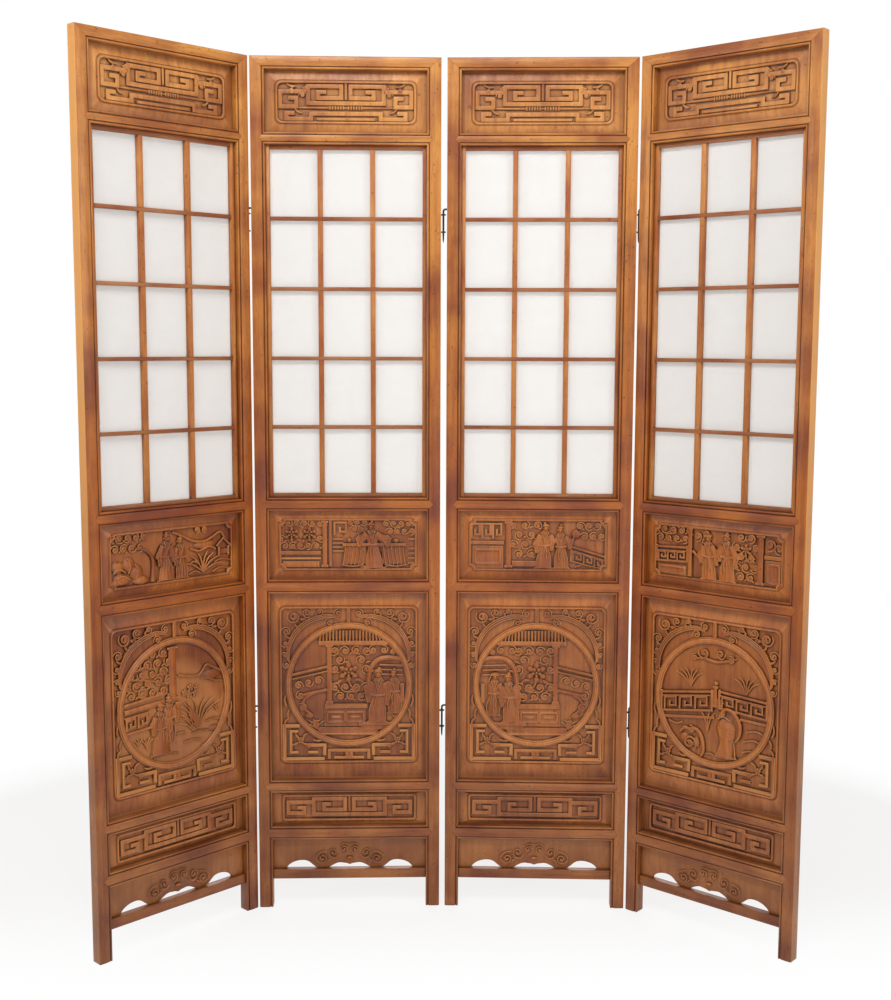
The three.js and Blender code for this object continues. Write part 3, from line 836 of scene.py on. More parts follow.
def volute(work, u, z, radius, start=0, hand=1, turns=1.3, width=None, height=6.4):
    # a scroll that winds in from a tapering tail to a round eye
    width = width or max(4.2, radius * 0.42)
    tail, close = 0.3, math.log(3.6) / turns
    count = int(13 * (turns + tail))
    line = []
    for i in range(count + 1):
        turned = -tail + (turns + tail) * i / count
        angle = math.radians(start) + hand * 2 * math.pi * turned
        reach = (radius - width / 2) * math.exp(-close * turned)
        line.append((u + reach * math.cos(angle), z + reach * math.sin(angle)))
    stroke(work, line, (2.2, width, width * 1.1, width, width * 0.8), height, curved=False)
    dome(work, u, z, width * 0.6, width * 0.6, height + 0.8)


def leaf(work, u, z, length, angle, width, height=5.4):
    along = Vector((math.cos(math.radians(angle)), math.sin(math.radians(angle))))
    bend = Vector((-along.y, along.x)) * length * 0.12
    root = Vector((u, z))
    middle = root + along * length * 0.5 + bend
    stroke(work, [tuple(root), tuple(middle), tuple(root + along * length)],
           (2.2, width, width * 0.7, 1.4), height)


def rosette(work, u, z, radius, height=6.2):
    for i in range(5):
        dome(work, *onCircle(u, z, radius * 0.6, 90 + 72 * i), radius * 0.44, radius * 0.44, height - 0.8)
    dome(work, u, z, radius * 0.3, radius * 0.3, height + 0.6)


def peony(work, u, z, radius, height=7.4):
    # two rounds of full petals about a seed head, with leaves under the flower
    for count, reach, size, lift, start in ((6, 0.66, 0.37, 0.0, 90), (5, 0.33, 0.24, 1.2, 54)):
        for i in range(count):
            angle = start + 360 / count * i
            dome(work, *onCircle(u, z, radius * reach, angle), radius * size * 0.8, radius * size,
                 height + lift - 1, 0.0, 90 - angle)
    dome(work, u, z, radius * 0.14, radius * 0.14, height + 1.6)
    for angle in (205, 335):
        across = onCircle(u, z, radius * 0.7, angle)[0]
        leaf(work, across, z - radius * 0.7, radius * 0.9, angle, radius * 0.4, height - 1.6)


def grass(work, u, z, length, angles, width=4.4, height=5.2):
    for angle in angles:
        turn = math.radians(angle)
        droop = length * 0.12 * (1 if math.cos(turn) > 0 else -1)
        tip = (u + length * math.cos(turn) + droop, z + length * math.sin(turn) - abs(droop) * 0.6)
        middle = (u + length * 0.55 * math.cos(turn), z + length * 0.6 * math.sin(turn))
        stroke(work, [(u, z), middle, tip], (2.6, width, 1.4), height)


def scrollField(work, across, up, radius, clear=()):
    # openwork: touching scrolls in staggered rows, wound in turn to either hand, with leaves between;
    # clear lists u, z and reach of what is left free for a flower
    (u0, u1), (z0, z1) = across, up
    rows = max(round((z1 - z0) / (radius * 1.9)), 1)
    columns = max(round((u1 - u0) / (radius * 2.1)), 1)
    for rowNumber in range(rows):
        for column in range(columns + rowNumber % 2):
            u = u0 + (column + 0.5 * ((rowNumber + 1) % 2)) * (u1 - u0) / columns
            z = z0 + (rowNumber + 0.5) * (z1 - z0) / rows
            if any(math.hypot(u - cu, z - cz) < reach + radius * 0.7 for cu, cz, reach in clear):
                continue
            hand = 1 if (rowNumber + column) % 2 else -1
            volute(work, u, z, radius, 60 + 97 * column + 53 * rowNumber, hand)
            leaf(work, u + radius * 0.9, z - radius * 0.7, radius * 1.1, 90 + 70 * hand, radius * 0.5)


def keyFret(work, start, end, rise, units, width=4.4, height=6.0, mirrored=False):
    unit = [(0.06, 0.0), (0.06, 0.92), (0.8, 0.92), (0.8, 0.26), (0.4, 0.26), (0.4, 0.6)]
    for i in range(units):
        line = []
        for s, t in unit:
            share = (i + (1 - s if mirrored else s)) / units
            line.append((start[0] + (end[0] - start[0]) * share,
                         start[1] + (end[1] - start[1]) * share + t * rise))
        bar(work, line, width, height)


def balustrade(work, start, end, drop, units):
    # a double handrail, a foot rail, posts and key frets between; drop is the depth below the handrail
    (u0, z0), (u1, z1) = start, end
    for fall, width, height in ((0, 7, 7), (9, 4.4, 6), (drop, 7, 6.4)):
        stroke(work, [(u0, z0 - fall), (u1, z1 - fall)], width, height)
    for share in (0.02, 0.98):
        u, z = u0 + (u1 - u0) * share, z0 + (z1 - z0) * share
        bar(work, [(u, z - drop - 2), (u, z + 5)], 6, 7)
    low = (u0 + (u1 - u0) * 0.06, z0 + (z1 - z0) * 0.06 - drop + 4)
    high = (u0 + (u1 - u0) * 0.94, z0 + (z1 - z0) * 0.94 - drop + 4)
    keyFret(work, low, high, drop - 14, units)


def roof(work, u0, u1, z0, z1):
    count = int((u1 - u0) / 8)
    for i in range(count + 1):
        u = u0 + (u1 - u0) * i / count
        stroke(work, [(u, z0), (u, z1)], 6.4, 6.8)
        dome(work, u, z0 - 1.5, 3.8, 3.8, 7.6)
    bar(work, [(u0 - 3, z0 - 10), (u1 + 3, z0 - 10)], 11, 6.6)


def column(work, u, z0, z1, width=14):
    stroke(work, [(u, z0), (u, z1)], width, 7.2, kind="broad")
    bar(work, [(u - width * 0.65, z0 + 3), (u + width * 0.65, z0 + 3)], 6, 7)
    bar(work, [(u - width * 0.65, z1 - 3), (u + width * 0.65, z1 - 3)], 5, 7)


def closedFrame(work, u0, u1, z0, z1, width, height):   # four bars round a field
    for line in ([(u0, z0), (u1, z0)], [(u0, z1), (u1, z1)], [(u0, z0), (u0, z1)], [(u1, z0), (u1, z1)]):
        bar(work, line, width, height)


def face(work, u, z, size, facing, height):
    # eyes half way down the head, the mouth a third of the way on to the chin, ears level with the nose
    def lift(across, up):
        return height * math.sqrt(max(1 - (across / (0.82 * size)) ** 2 - (up / size) ** 2, 0.1))

    turn = facing * size * 0.1
    for side in (-1, 1):
        across = side * size * 0.33 + turn
        dome(work, u + across, z - size * 0.04, size * 0.17, size * 0.1, lift(across, 0) + 0.6)
        stroke(work, [(u + across - side * size * 0.2, z + size * 0.16), (u + across, z + size * 0.23),
                      (u + across + side * size * 0.18, z + size * 0.14)], 1.6,
               lift(across, 0.2 * size) + 0.5)
        dome(work, u + side * size * 0.8, z - size * 0.14, size * 0.14, size * 0.26, height * 0.6)
    stroke(work, [(u + turn, z + size * 0.12), (u + turn * 1.3, z - size * 0.28)], (1.4, 2.6),
           lift(turn, 0) + 1.3)
    stroke(work, [(u + turn - size * 0.2, z - size * 0.52), (u + turn, z - size * 0.55),
                  (u + turn + size * 0.2, z - size * 0.52)], 1.8, lift(turn, size * 0.5) + 0.7)


def headdress(work, style, u, z, size, facing):
    if style == "cap":
        dome(work, u, z + size * 0.66, size * 0.92, size * 0.5, 9.8)
        stroke(work, [(u - size * 0.86, z + size * 0.42), (u, z + size * 0.5),
                      (u + size * 0.86, z + size * 0.42)], 2.6, 10.0)
        dome(work, u - facing * size * 0.25, z + size * 1.15, size * 0.46, size * 0.38, 8.6)
    elif style == "bun":
        dome(work, u - facing * size * 0.12, z + size * 0.62, size * 0.9, size * 0.5, 9.6)
        dome(work, u - facing * size * 0.2, z + size * 1.3, size * 0.46, size * 0.42, 8.8)
    else:   # a round wrapped cloth with a hanging end
        dome(work, u, z + size * 0.66, size * 1.12, size * 0.56, 9.6)
        for rise in (0.4, 0.72):
            stroke(work, [(u - size, z + size * (rise - 0.1)), (u, z + size * (rise + 0.08)),
                          (u + size, z + size * (rise - 0.1))], 2.6, 10.0)
        stroke(work, [(u - facing * size, z + size * 0.3), (u - facing * size * 1.5, z - size * 1.4)],
               (3.0, 5.0, 2.4), 7.2)


def sleeve(work, shoulder, hand, tall):   # a wide sleeve that hangs from the forearm, with two folds
    side = 1 if hand[0] > shoulder[0] else -1
    elbow = ((shoulder[0] + hand[0]) / 2 + side * 2, (shoulder[1] + hand[1]) / 2 - tall * 0.05)
    hang = (hand[0] - side * tall * 0.02, hand[1] - tall * 0.17)
    stroke(work, [shoulder, elbow, hand], (tall * 0.14, tall * 0.18, tall * 0.19), 8.0, kind="broad")
    stroke(work, [(elbow[0], elbow[1] + 2), hang], (tall * 0.18, tall * 0.2, tall * 0.1), 7.8, kind="broad")
    stroke(work, [(hand[0] + side * 2, hand[1] + tall * 0.06), (hand[0] + side * 3, hand[1] - tall * 0.04),
                  hang], 2.8, 8.8)
    stroke(work, [shoulder, (elbow[0], elbow[1] - tall * 0.02), (hang[0] - side * 5, hang[1] + 4)],
           (1.8, 2.6, 2.0), 8.8)
    dome(work, hand[0] + side * tall * 0.045, hand[1] + 1, tall * 0.036, tall * 0.03, 8.6)


def figure(work, person):
    # a robed scholar: gown with folds, crossed collar, tied sash with a hanging end, wide sleeves
    u, z, tall, lean = person["u"], person["z"], person["tall"], person.get("lean", 0)
    facing, flare = person.get("facing", 1), person.get("flare", 0.42)
    neck = (u + lean, z + tall * 0.8)
    waist = (u + lean * 0.5, z + tall * 0.5)
    stroke(work, [(u, z), (u + lean * 0.15, z + tall * 0.22), waist, (u + lean * 0.85, z + tall * 0.7), neck],
           (tall * flare, tall * flare * 0.86, tall * 0.27, tall * 0.3, tall * 0.12), 7.2, kind="broad")
    for share in (-0.8, -0.4, 0, 0.4, 0.8):   # folds of the gown
        hem = (u + share * tall * flare * 0.48, z + 1)
        knee = (u + lean * 0.2 + share * tall * 0.18, z + tall * 0.25)
        top = (waist[0] + share * tall * 0.08, waist[1] - 2)
        stroke(work, [hem, knee, top], (3.8, 3.0, 1.6), 8.4 - 3.0 * share * share)
    stroke(work, [(u + share * tall * flare * 0.5, z) for share in (-1, -0.5, 0, 0.5, 1)], 4.2, 6.8)
    stroke(work, [(waist[0] - tall * 0.13, waist[1] + 1), (waist[0], waist[1] - 2),
                  (waist[0] + tall * 0.13, waist[1] + 1)], 5.4, 8.8)
    stroke(work, [(waist[0] + facing * 3, waist[1] - 3), (waist[0] + facing * 6, z + tall * 0.34),
                  (waist[0] + facing * 4, z + tall * 0.2)], (3.4, 4.0, 2.6), 9.2)
    for side in (-1, 1):   # the crossed collar
        stroke(work, [(neck[0] + side * tall * 0.07, neck[1] - 1), (waist[0] - side, waist[1] + 6)], 3.0, 8.8)
    for handU, handZ in person.get("hands", []):
        side = 1 if handU > neck[0] else -1
        sleeve(work, (neck[0] + side * tall * 0.09, neck[1] - tall * 0.07), (handU, handZ), tall)
    size = tall * 0.09
    head = (neck[0] + facing * tall * 0.01, z + tall * 0.89)
    dome(work, head[0], head[1], size * 0.82, size, 9.0)
    face(work, head[0], head[1], size, facing, 9.0)
    headdress(work, person.get("hair", "cap"), head[0], head[1], size, facing)


def tubes(strokes, squash):   # all strokes of a kind as one mesh, flattened towards the ground
    lines = [[(u, -max(height - width / 2 * squash, 0.3) / squash, z, width / 2) for u, z, width in placed]
             for placed, height in strokes]
    piece = wires(lines, 1, 2)
    piece.data.transform(Matrix.Translation((0, ground * mm, 0)) @ Matrix.Diagonal((1, squash, 1, 1)))
    return piece


def carve(work, keepInside):
    # joins the work, holds it inside its field and melts it into one closed relief
    parts = []
    if work["fine"]:
        parts.append(tubes(work["fine"], 0.85))
    if work["broad"]:
        parts.append(tubes(work["broad"], carving["bodySquash"]))
    for line, width, height in work["bars"]:
        parts.append(plate(barOutline(line, width), ground - height, ground + 1.4))
    for u, z, across, up, height, base, turn in work["domes"]:
        deselect()
        bpy.ops.mesh.primitive_ico_sphere_add(subdivisions=2, radius=mm, scale=(across, height - base, up),
                                              location=(u * mm, (ground - base) * mm, z * mm),
                                              rotation=(0, math.radians(turn), 0))
        bpy.ops.object.transform_apply(location=True, rotation=True, scale=True)
        parts.append(bpy.context.object)
    relief = join(parts)
    for vertex in relief.data.vertices:
        vertex.co.x, vertex.co.z = keepInside(vertex.co.x / mm, vertex.co.z / mm)
        vertex.co.x *= mm
        vertex.co.z *= mm
        vertex.co.y = min(vertex.co.y, carving["sunk"] * mm)
    voxel = carving["voxel"] * 1 * mm
    modified(relief, "REMESH", mode="VOXEL", voxel_size=voxel, use_smooth_shade=True)
    modified(relief, "SMOOTH", factor=0.5, iterations=1)
    return modified(relief, "DECIMATE", decimate_type="DISSOLVE", angle_limit=math.radians(1.5))


def insideRing(u, z):
    offset = Vector((u - panel["centre"], z - ring["z"]))
    if offset.length > 149:
        offset = offset.normalized() * 149
    return panel["centre"] + offset.x, ring["z"] + offset.y


def within(u0, u1, z0, z1):
    return lambda u, z: (min(max(u, u0), u1), min(max(z, z0), z1))


fields = {"waist": within(60.5, 394.5, 869.5, 991.5), "corners": within(58.5, 396.5, 377.5, 771.5),
          "top": within(66, 389, 1951.5, 2038.5), "apron": within(0, panel["width"], 111, panel["height"])}


def medallionOne(work):   # a waterside: scrolled screen, low wall, reeds and hills, a scholar and a friend
    column(work, 220, 584, 712, 22)
    scrollField(work, (92, 208), (600, 712), 12.5)
    stroke(work, [(98, 652), (150, 642), (208, 624)], 5, 6)
    stroke(work, [(86, 592), (196, 603)], 9, 7)
    stroke(work, [(88, 575), (196, 583)], 15, 4.6, kind="broad")
    keyFret(work, (90, 531), (154, 536), 28, 2, 5.4, 6.2)
    stroke(work, [(86, 562), (156, 567)], 5, 6)
    stroke(work, [(92, 524), (160, 529)], 8, 6)
    grass(work, 146, 478, 30, (62, 80, 98, 116))
    grass(work, 124, 488, 22, (70, 95, 120))
    bar(work, [(233, 530), (233, 576)], 13, 5)
    figure(work, {"u": 208, "z": 486, "tall": 112, "flare": 0.3, "hair": "bun", "hands": [(230, 548)]})
    figure(work, {"u": 184, "z": 458, "tall": 126, "flare": 0.46, "hands": [(212, 528), (162, 528)]})
    for u, z in ((254, 594), (270, 604), (288, 600), (266, 588), (284, 588)):
        rosette(work, u, z, 9.5)
    for radius, angle in ((46, 96), (58, 110), (70, 124)):
        stroke(work, [(288, 500), (288 + radius * 0.5 * math.cos(math.radians(angle)), 500 + radius * 0.7),
                      (288 + radius * math.cos(math.radians(angle)), 500 + radius)], (3, 5.4, 2), 5.6)
    grass(work, 290, 500, 84, (52, 66, 80, 94, 108, 122, 138), 5.6, 5.6)
    grass(work, 276, 498, 46, (100, 122, 142), 4.8)
    stroke(work, [(236, 640), (262, 634), (290, 630), (304, 638), (318, 652), (340, 642), (368, 628)],
           6.4, 5.6)
    stroke(work, [(300, 622), (322, 618), (340, 610), (362, 606)], 5, 5)
    dome(work, 334, 626, 30, 14, 4.6)
    grass(work, 345, 533, 20, (56, 76, 96, 118), 4)
    for line in ([(228, 497), (240, 499), (256, 497)], [(272, 490), (296, 493), (318, 490)],
                 [(250, 472), (274, 475), (300, 471)], [(312, 512), (334, 516), (356, 511)],
                 [(300, 454), (318, 458), (334, 453)], [(164, 452), (200, 455), (236, 450)]):
        stroke(work, line, 5.4, 4.8)
    dome(work, 336, 492, 20, 9, 5)


def hall(work):   # a hall with an openwork window, its terrace, a railing, rocks and a moon gate
    roof(work, 156, 322, 692, 714)
    column(work, 179, 528, 678)
    scrollField(work, (192, 272), (534, 674), 12.5, [(228, 606, 26)])
    peony(work, 227, 607, 27)
    stroke(work, [(244, 560), (232, 574), (227, 588)], 5, 6)
    for fall, width in ((0, 8), (11, 4.6)):
        stroke(work, [(86, 601 - fall), (172, 621 - fall)], width, 6.8)
    for u, z, hand in ((102, 574, 1), (127, 581, -1), (152, 587, 1)):
        volute(work, u, z, 12, 90 * hand, hand)
    stroke(work, [(112, 549), (172, 562)], 10, 6.4)
    stroke(work, [(136, 552), (118, 540), (112, 524), (122, 508), (136, 498)], (5, 10, 11, 9, 4), 6.4)
    volute(work, 106, 548, 12, 200)
    volute(work, 112, 518, 11, 20, -1)
    dome(work, 128, 496, 13, 9, 6)
    grass(work, 146, 462, 28, (56, 78, 100, 122, 146))
    leaf(work, 132, 476, 22, 20, 8)
    bar(work, [(168, 521), (274, 521)], 12, 7)
    bar(work, [(166, 492), (270, 492)], 46, 4.2)
    closedFrame(work, 174, 216, 480, 504, 5, 6.4)
    closedFrame(work, 222, 264, 480, 504, 5, 6.4)
    bar(work, [(184, 492), (206, 492)], 5)
    bar(work, [(232, 492), (254, 492)], 5)
    bar(work, [(148, 456), (300, 456)], 20, 3.6)
    bar(work, [(150, 447), (300, 447)], 5, 5)
    bar(work, [(252, 474), (336, 474)], 9, 7)
    bar(work, [(258, 463), (330, 463)], 13, 4.8)
    gate = [(276, 556), (277, 592), (285, 622), (303, 640), (330, 644), (362, 640)]
    stroke(work, gate, 13, 5.6, kind="broad")
    stroke(work, gate, 4.4, 7)
    for fall in (626, 614, 602):
        stroke(work, [(304, fall), (362, fall - 2)], 4.6, 5.4)
    bar(work, [(361, 528), (361, 578)], 9, 5.4)
    for u, z, radius, start, hand in ((288, 664, 12, 180, 1), (316, 664, 11, 0, -1), (338, 658, 9, 90, 1)):
        volute(work, u, z, radius, start, hand)
    grass(work, 346, 486, 20, (40, 70, 100, 130), 4)


def medallionTwo(work):   # two scholars under the gate of the hall
    hall(work)
    figure(work, {"u": 343, "z": 502, "tall": 112, "lean": -3, "facing": -1, "flare": 0.36, "hair": "bun",
                  "hands": [(328, 556)]})
    figure(work, {"u": 298, "z": 480, "tall": 138, "lean": 4, "facing": -1, "flare": 0.38,
                  "hands": [(272, 553), (326, 546)]})


def medallionThree(work):   # the same hall seen from the other side, with a visitor and a friend
    hall(work)
    mirrorWork(work, keep=False)
    figure(work, {"u": 120, "z": 497, "tall": 112, "lean": 3, "flare": 0.34, "hair": "wrapped",
                  "hands": [(142, 552)]})
    figure(work, {"u": 166, "z": 480, "tall": 126, "lean": -8, "facing": -1, "flare": 0.4,
                  "hands": [(186, 545), (140, 540)]})


def medallionFour(work):   # an old man bent under his cloak among reeds, a garden railing, a cloud above
    stroke(work, [(174, 676), (200, 680), (230, 676), (262, 682), (290, 692)], (4, 8, 9, 8, 3), 6)
    volute(work, 200, 693, 15, 270)
    volute(work, 244, 696, 14, 270, -1)
    volute(work, 176, 680, 9, 180)
    volute(work, 272, 686, 10, 0, -1)
    balustrade(work, (84, 579), (228, 603), 46, 3)
    balustrade(work, (242, 606), (372, 599), 40, 3)
    stroke(work, [(96, 520), (232, 540)], 8, 4.6, kind="broad")
    stroke(work, [(300, 548), (370, 546)], 8, 4.6, kind="broad")
    column(work, 234, 566, 618, 10)
    dome(work, 234, 624, 7, 7, 8)
    rosette(work, 246, 577, 11, 7.6)
    grass(work, 166, 606, 50, (58, 74, 88, 102, 118, 134))
    grass(work, 314, 610, 46, (52, 70, 88, 106, 124))
    grass(work, 214, 502, 56, (76, 90, 104))
    stroke(work, [(262, 450), (266, 486), (262, 520), (262, 546)], (52, 44, 56, 30), 7.4, kind="broad")
    stroke(work, [(246, 546), (262, 566), (284, 560), (300, 534), (300, 508), (290, 492)],
           (6, 9, 10, 10, 8, 4), 8.6)
    stroke(work, [(244, 540), (258, 548), (276, 540)], 4, 9)
    stroke(work, [(250, 530), (262, 516), (280, 512)], 4.4, 8.8)
    stroke(work, [(246, 520), (252, 500), (266, 494)], (4, 8, 4), 8.6)
    dome(work, 252, 552, 10, 9, 8.8)
    for foot, knee, top in ((240, 250, 256), (252, 258, 262), (266, 268, 268), (280, 278, 276),
                            (290, 288, 284)):
        stroke(work, [(foot, 450), (knee, 474), (top, 494)], (4.6, 3.4, 2), 7.6)
    stroke(work, [(238, 450), (264, 447), (294, 451)], 5.4, 7)
    stroke(work, [(262, 558), (246, 566), (238, 590)], 2.6, 6)
    stroke(work, [(140, 490), (152, 502), (166, 500), (180, 504), (194, 494), (202, 474), (204, 452),
                  (198, 438)], (6, 9, 10, 10, 11, 11, 9, 5), 6.8)
    volute(work, 166, 466, 20, 60, 1, 1.3, 8, 6.8)
    dome(work, 150, 478, 14, 12, 5.6)
    dome(work, 184, 470, 10, 16, 5.6)
    volute(work, 170, 500, 10, 0, -1)
    for line in ([(210, 447), (222, 450), (232, 447)], [(308, 470), (328, 476), (346, 470)],
                 [(310, 496), (336, 503), (360, 496)], [(316, 520), (342, 526), (366, 519)],
                 [(108, 512), (128, 508), (146, 514)]):
        stroke(work, line, 5, 4.8)


def waistOne(work):   # a tree by a rockery, scholars on the hill and a hut
    scrollField(work, (62, 150), (946, 994), 11)
    stroke(work, [(172, 874), (174, 904), (172, 928), (160, 944), (140, 956)], (14, 11, 9, 7, 4), 6.8)
    for u, z, across, up in ((80, 916, 19, 16), (110, 920, 17, 20), (92, 888, 25, 16), (130, 900, 19, 20),
                             (142, 880, 24, 12), (72, 880, 16, 10)):
        dome(work, u, z, across, up, 6)
    for line in ([(66, 904), (84, 912), (100, 902)], [(104, 936), (112, 918), (106, 900)],
                 [(124, 920), (132, 904), (126, 886)], [(76, 890), (92, 896), (110, 886)]):
        stroke(work, line, 4, 7.2)
    figure(work, {"u": 252, "z": 873, "tall": 100, "lean": -4, "facing": -1, "flare": 0.4, "hair": "bun",
                  "hands": [(232, 922)]})
    figure(work, {"u": 208, "z": 873, "tall": 112, "lean": 3, "flare": 0.44,
                  "hands": [(232, 932), (188, 926)]})
    stroke(work, [(228, 984), (256, 972), (284, 958), (316, 954), (340, 962), (364, 972), (380, 950),
                  (394, 934)], 6.4, 5.8)
    stroke(work, [(276, 940), (302, 932), (330, 940), (350, 932)], 5, 5)
    dome(work, 322, 946, 34, 12, 4.4)
    grass(work, 312, 880, 54, (26, 46, 64, 82, 100, 122, 146), 5.6, 5.6)
    stroke(work, [(352, 938), (371, 956), (394, 938)], 6, 6.8, curved=False)
    bar(work, [(358, 914), (358, 936)], 5)
    bar(work, [(386, 914), (386, 936)], 5)
    bar(work, [(360, 924), (386, 924)], 12, 4)
    for line in ([(272, 878), (290, 884), (304, 879)], [(340, 878), (364, 886), (392, 879)],
                 [(346, 900), (366, 906), (392, 901)], [(274, 902), (286, 908), (298, 903)]):
        stroke(work, line, 5, 4.8)
    volute(work, 296, 984, 9)
    volute(work, 318, 984, 9, 180, -1)


def waistTwo(work):   # a flower window over a low wall, a scholar leaning on a draped table
    scrollField(work, (62, 158), (918, 992), 10, [(88, 956, 17), (132, 956, 17)])
    peony(work, 88, 956, 20)
    peony(work, 132, 956, 20)
    bar(work, [(62, 910), (160, 910)], 8, 6.6)
    bar(work, [(62, 896), (160, 896)], 5, 5)
    bar(work, [(66, 881), (156, 881)], 15, 4)
    column(work, 170, 874, 990, 13)
    bar(work, [(184, 876), (184, 990)], 6, 5.6)
    keyFret(work, (192, 954), (230, 954), 34, 1, 5.4)
    for z in (944, 934, 924, 914):
        bar(work, [(190, z), (216, z)], 4, 4.6)
    scrollField(work, (234, 268), (962, 992), 9)
    scrollField(work, (322, 394), (954, 992), 9.5)
    bar(work, [(214, 930), (370, 930)], 8, 7)
    for left, right, foot in ((218, 272, -6), (312, 366, 6)):   # the cloth hangs on both sides
        bar(work, [(left, 903), (right, 903)], 42, 4.6)
        for i in range(6):
            u = left + 3 + (right - left - 6) * i / 5
            stroke(work, [(u, 926), (u + foot * 0.4, 902), (u + foot, 880)], (2.6, 4.4, 3.6), 6.6)
        stroke(work, [(left + foot, 880), ((left + right) / 2 + foot, 876), (right + foot, 880)], 4.4, 6.8)
    figure(work, {"u": 292, "z": 872, "tall": 117, "lean": -7, "facing": -1, "flare": 0.46,
                  "hands": [(252, 944), (328, 944)]})
    for line in ([(258, 872), (276, 878), (292, 873)], [(318, 873), (334, 878), (350, 872)]):
        stroke(work, line, 5, 5.6)
    dome(work, 346, 940, 9, 7, 7.6)
    dome(work, 230, 941, 7, 8, 7.6)
    for z in (944, 920, 908, 896, 884):
        bar(work, [(376, z), (396, z)], 4, 4.6)


def waistThree(work):   # two scholars, one with a fan, between a fret screen and a railing
    keyFret(work, (62, 946), (142, 946), 40, 3, 5.4)
    bar(work, [(62, 936), (144, 936)], 9, 6.4)
    bar(work, [(66, 900), (142, 900)], 56, 4)
    closedFrame(work, 74, 134, 884, 918, 5, 6)
    column(work, 155, 874, 990, 15)
    scrollField(work, (166, 226), (896, 992), 11.5)
    bar(work, [(164, 884), (228, 884)], 14, 6.4)
    figure(work, {"u": 286, "z": 873, "tall": 108, "lean": -2, "facing": -1, "flare": 0.4, "hair": "bun",
                  "hands": [(310, 940)]})
    figure(work, {"u": 242, "z": 873, "tall": 114, "lean": 4, "hands": [(264, 936), (222, 930)]})
    dome(work, 322, 958, 13, 14, 8.4)
    stroke(work, [(311, 938), (317, 952)], 3.4, 8.8)
    scrollField(work, (332, 396), (940, 992), 11)
    balustrade(work, (308, 928), (398, 902), 36, 3)
    for line in ([(320, 876), (340, 882), (360, 876)], [(366, 872), (380, 876), (392, 872)]):
        stroke(work, line, 5, 4.8)


def waistFour(work):   # friends meeting between scroll screens, a railing running away
    scrollField(work, (62, 154), (952, 992), 10.5)
    balustrade(work, (62, 938), (150, 942), 34, 3)
    bar(work, [(66, 884), (146, 884)], 26, 4)
    closedFrame(work, 72, 140, 877, 892, 4.4, 6)
    bar(work, [(156, 874), (156, 990)], 10, 7)
    stroke(work, [(162, 936), (190, 910), (214, 884)], 8, 6, curved=False)
    volute(work, 176, 972, 12)
    volute(work, 200, 980, 10, 180, -1)
    figure(work, {"u": 208, "z": 872, "tall": 110, "lean": -6, "hair": "wrapped",
                  "hands": [(230, 926), (184, 928)]})
    figure(work, {"u": 256, "z": 872, "tall": 116, "lean": -4, "facing": -1,
                  "hands": [(234, 938), (280, 928)]})
    scrollField(work, (278, 328), (876, 992), 11.5, [(302, 950, 10)])
    peony(work, 302, 950, 17)
    column(work, 340, 874, 990, 16)
    volute(work, 364, 970, 15)
    volute(work, 386, 962, 13, 180, -1)
    bar(work, [(350, 940), (396, 940)], 9, 6.2)
    bar(work, [(352, 904), (394, 904)], 58, 4)
    closedFrame(work, 360, 388, 882, 924, 5, 6)


def spandrels(work):   # ribbed leaf scrolls in the upper corners, key frets with a flower in the lower ones
    band = [(77, 634), (78, 668), (90, 700), (112, 726), (142, 743), (176, 751), (202, 748)]
    stroke(work, band, (4, 12, 15, 16, 15, 12, 6), 5.4, kind="broad")
    for shift in (-5, 0, 5):   # ribs that run along the band
        stroke(work, [(u - shift * 0.6, z + shift * 0.8) for u, z in band],
               (1.6, 2.8, 3.0, 3.0, 2.8, 1.6), 7.2)
    for u, z, radius, start, hand, turns in (
            (92, 748, 17, 250, 1, 1.6), (73, 712, 12, 60, -1, 1.4), (124, 759, 12, 200, -1, 1.4),
            (156, 762, 9, 30, 1, 1.3), (180, 735, 11, 100, -1, 1.4), (201, 757, 11, 200, 1, 1.4),
            (70, 680, 9, 300, 1, 1.3), (69, 652, 8, 60, -1, 1.2), (72, 626, 9, 250, 1, 1.3)):
        volute(work, u, z, radius, start, hand, turns, max(3.6, radius * 0.34), 7.2)
    dome(work, 112, 742, 8, 6, 7.6)
    for u, z, length, angle, width in ((102, 720, 22, 118, 8), (122, 738, 20, 96, 8), (146, 748, 18, 60, 7),
                                       (84, 694, 18, 150, 7), (164, 748, 20, 20, 7), (72, 520, 30, 96, 8),
                                       (76, 488, 26, 84, 9), (66, 474, 18, 60, 7), (158, 432, 22, 170, 8)):
        leaf(work, u, z, length, angle, width, 6.4)
    for line, width in (([(104, 470), (66, 470), (66, 385), (166, 385)], 9),
                        ([(100, 456), (82, 456), (82, 402), (100, 402)], 7),
                        ([(122, 420), (166, 420), (166, 394)], 9), ([(124, 402), (150, 402)], 7),
                        ([(229, 406), (178, 406), (178, 384)], 8), ([(229, 388), (190, 388)], 7)):
        bar(work, line, width)
    rosette(work, 106, 432, 9.5, 7)
    for length, angle in ((20, 50), (18, 120), (20, -40), (18, 200)):
        leaf(work, 106 + 8 * math.cos(math.radians(angle)), 430 + 8 * math.sin(math.radians(angle)),
             length, angle, 8, 6)
    bar(work, [(228.5, 734), (228.5, 771)], 7, 6.4)
    dome(work, 222, 397, 7, 11, 7)
    mirrorWork(work)


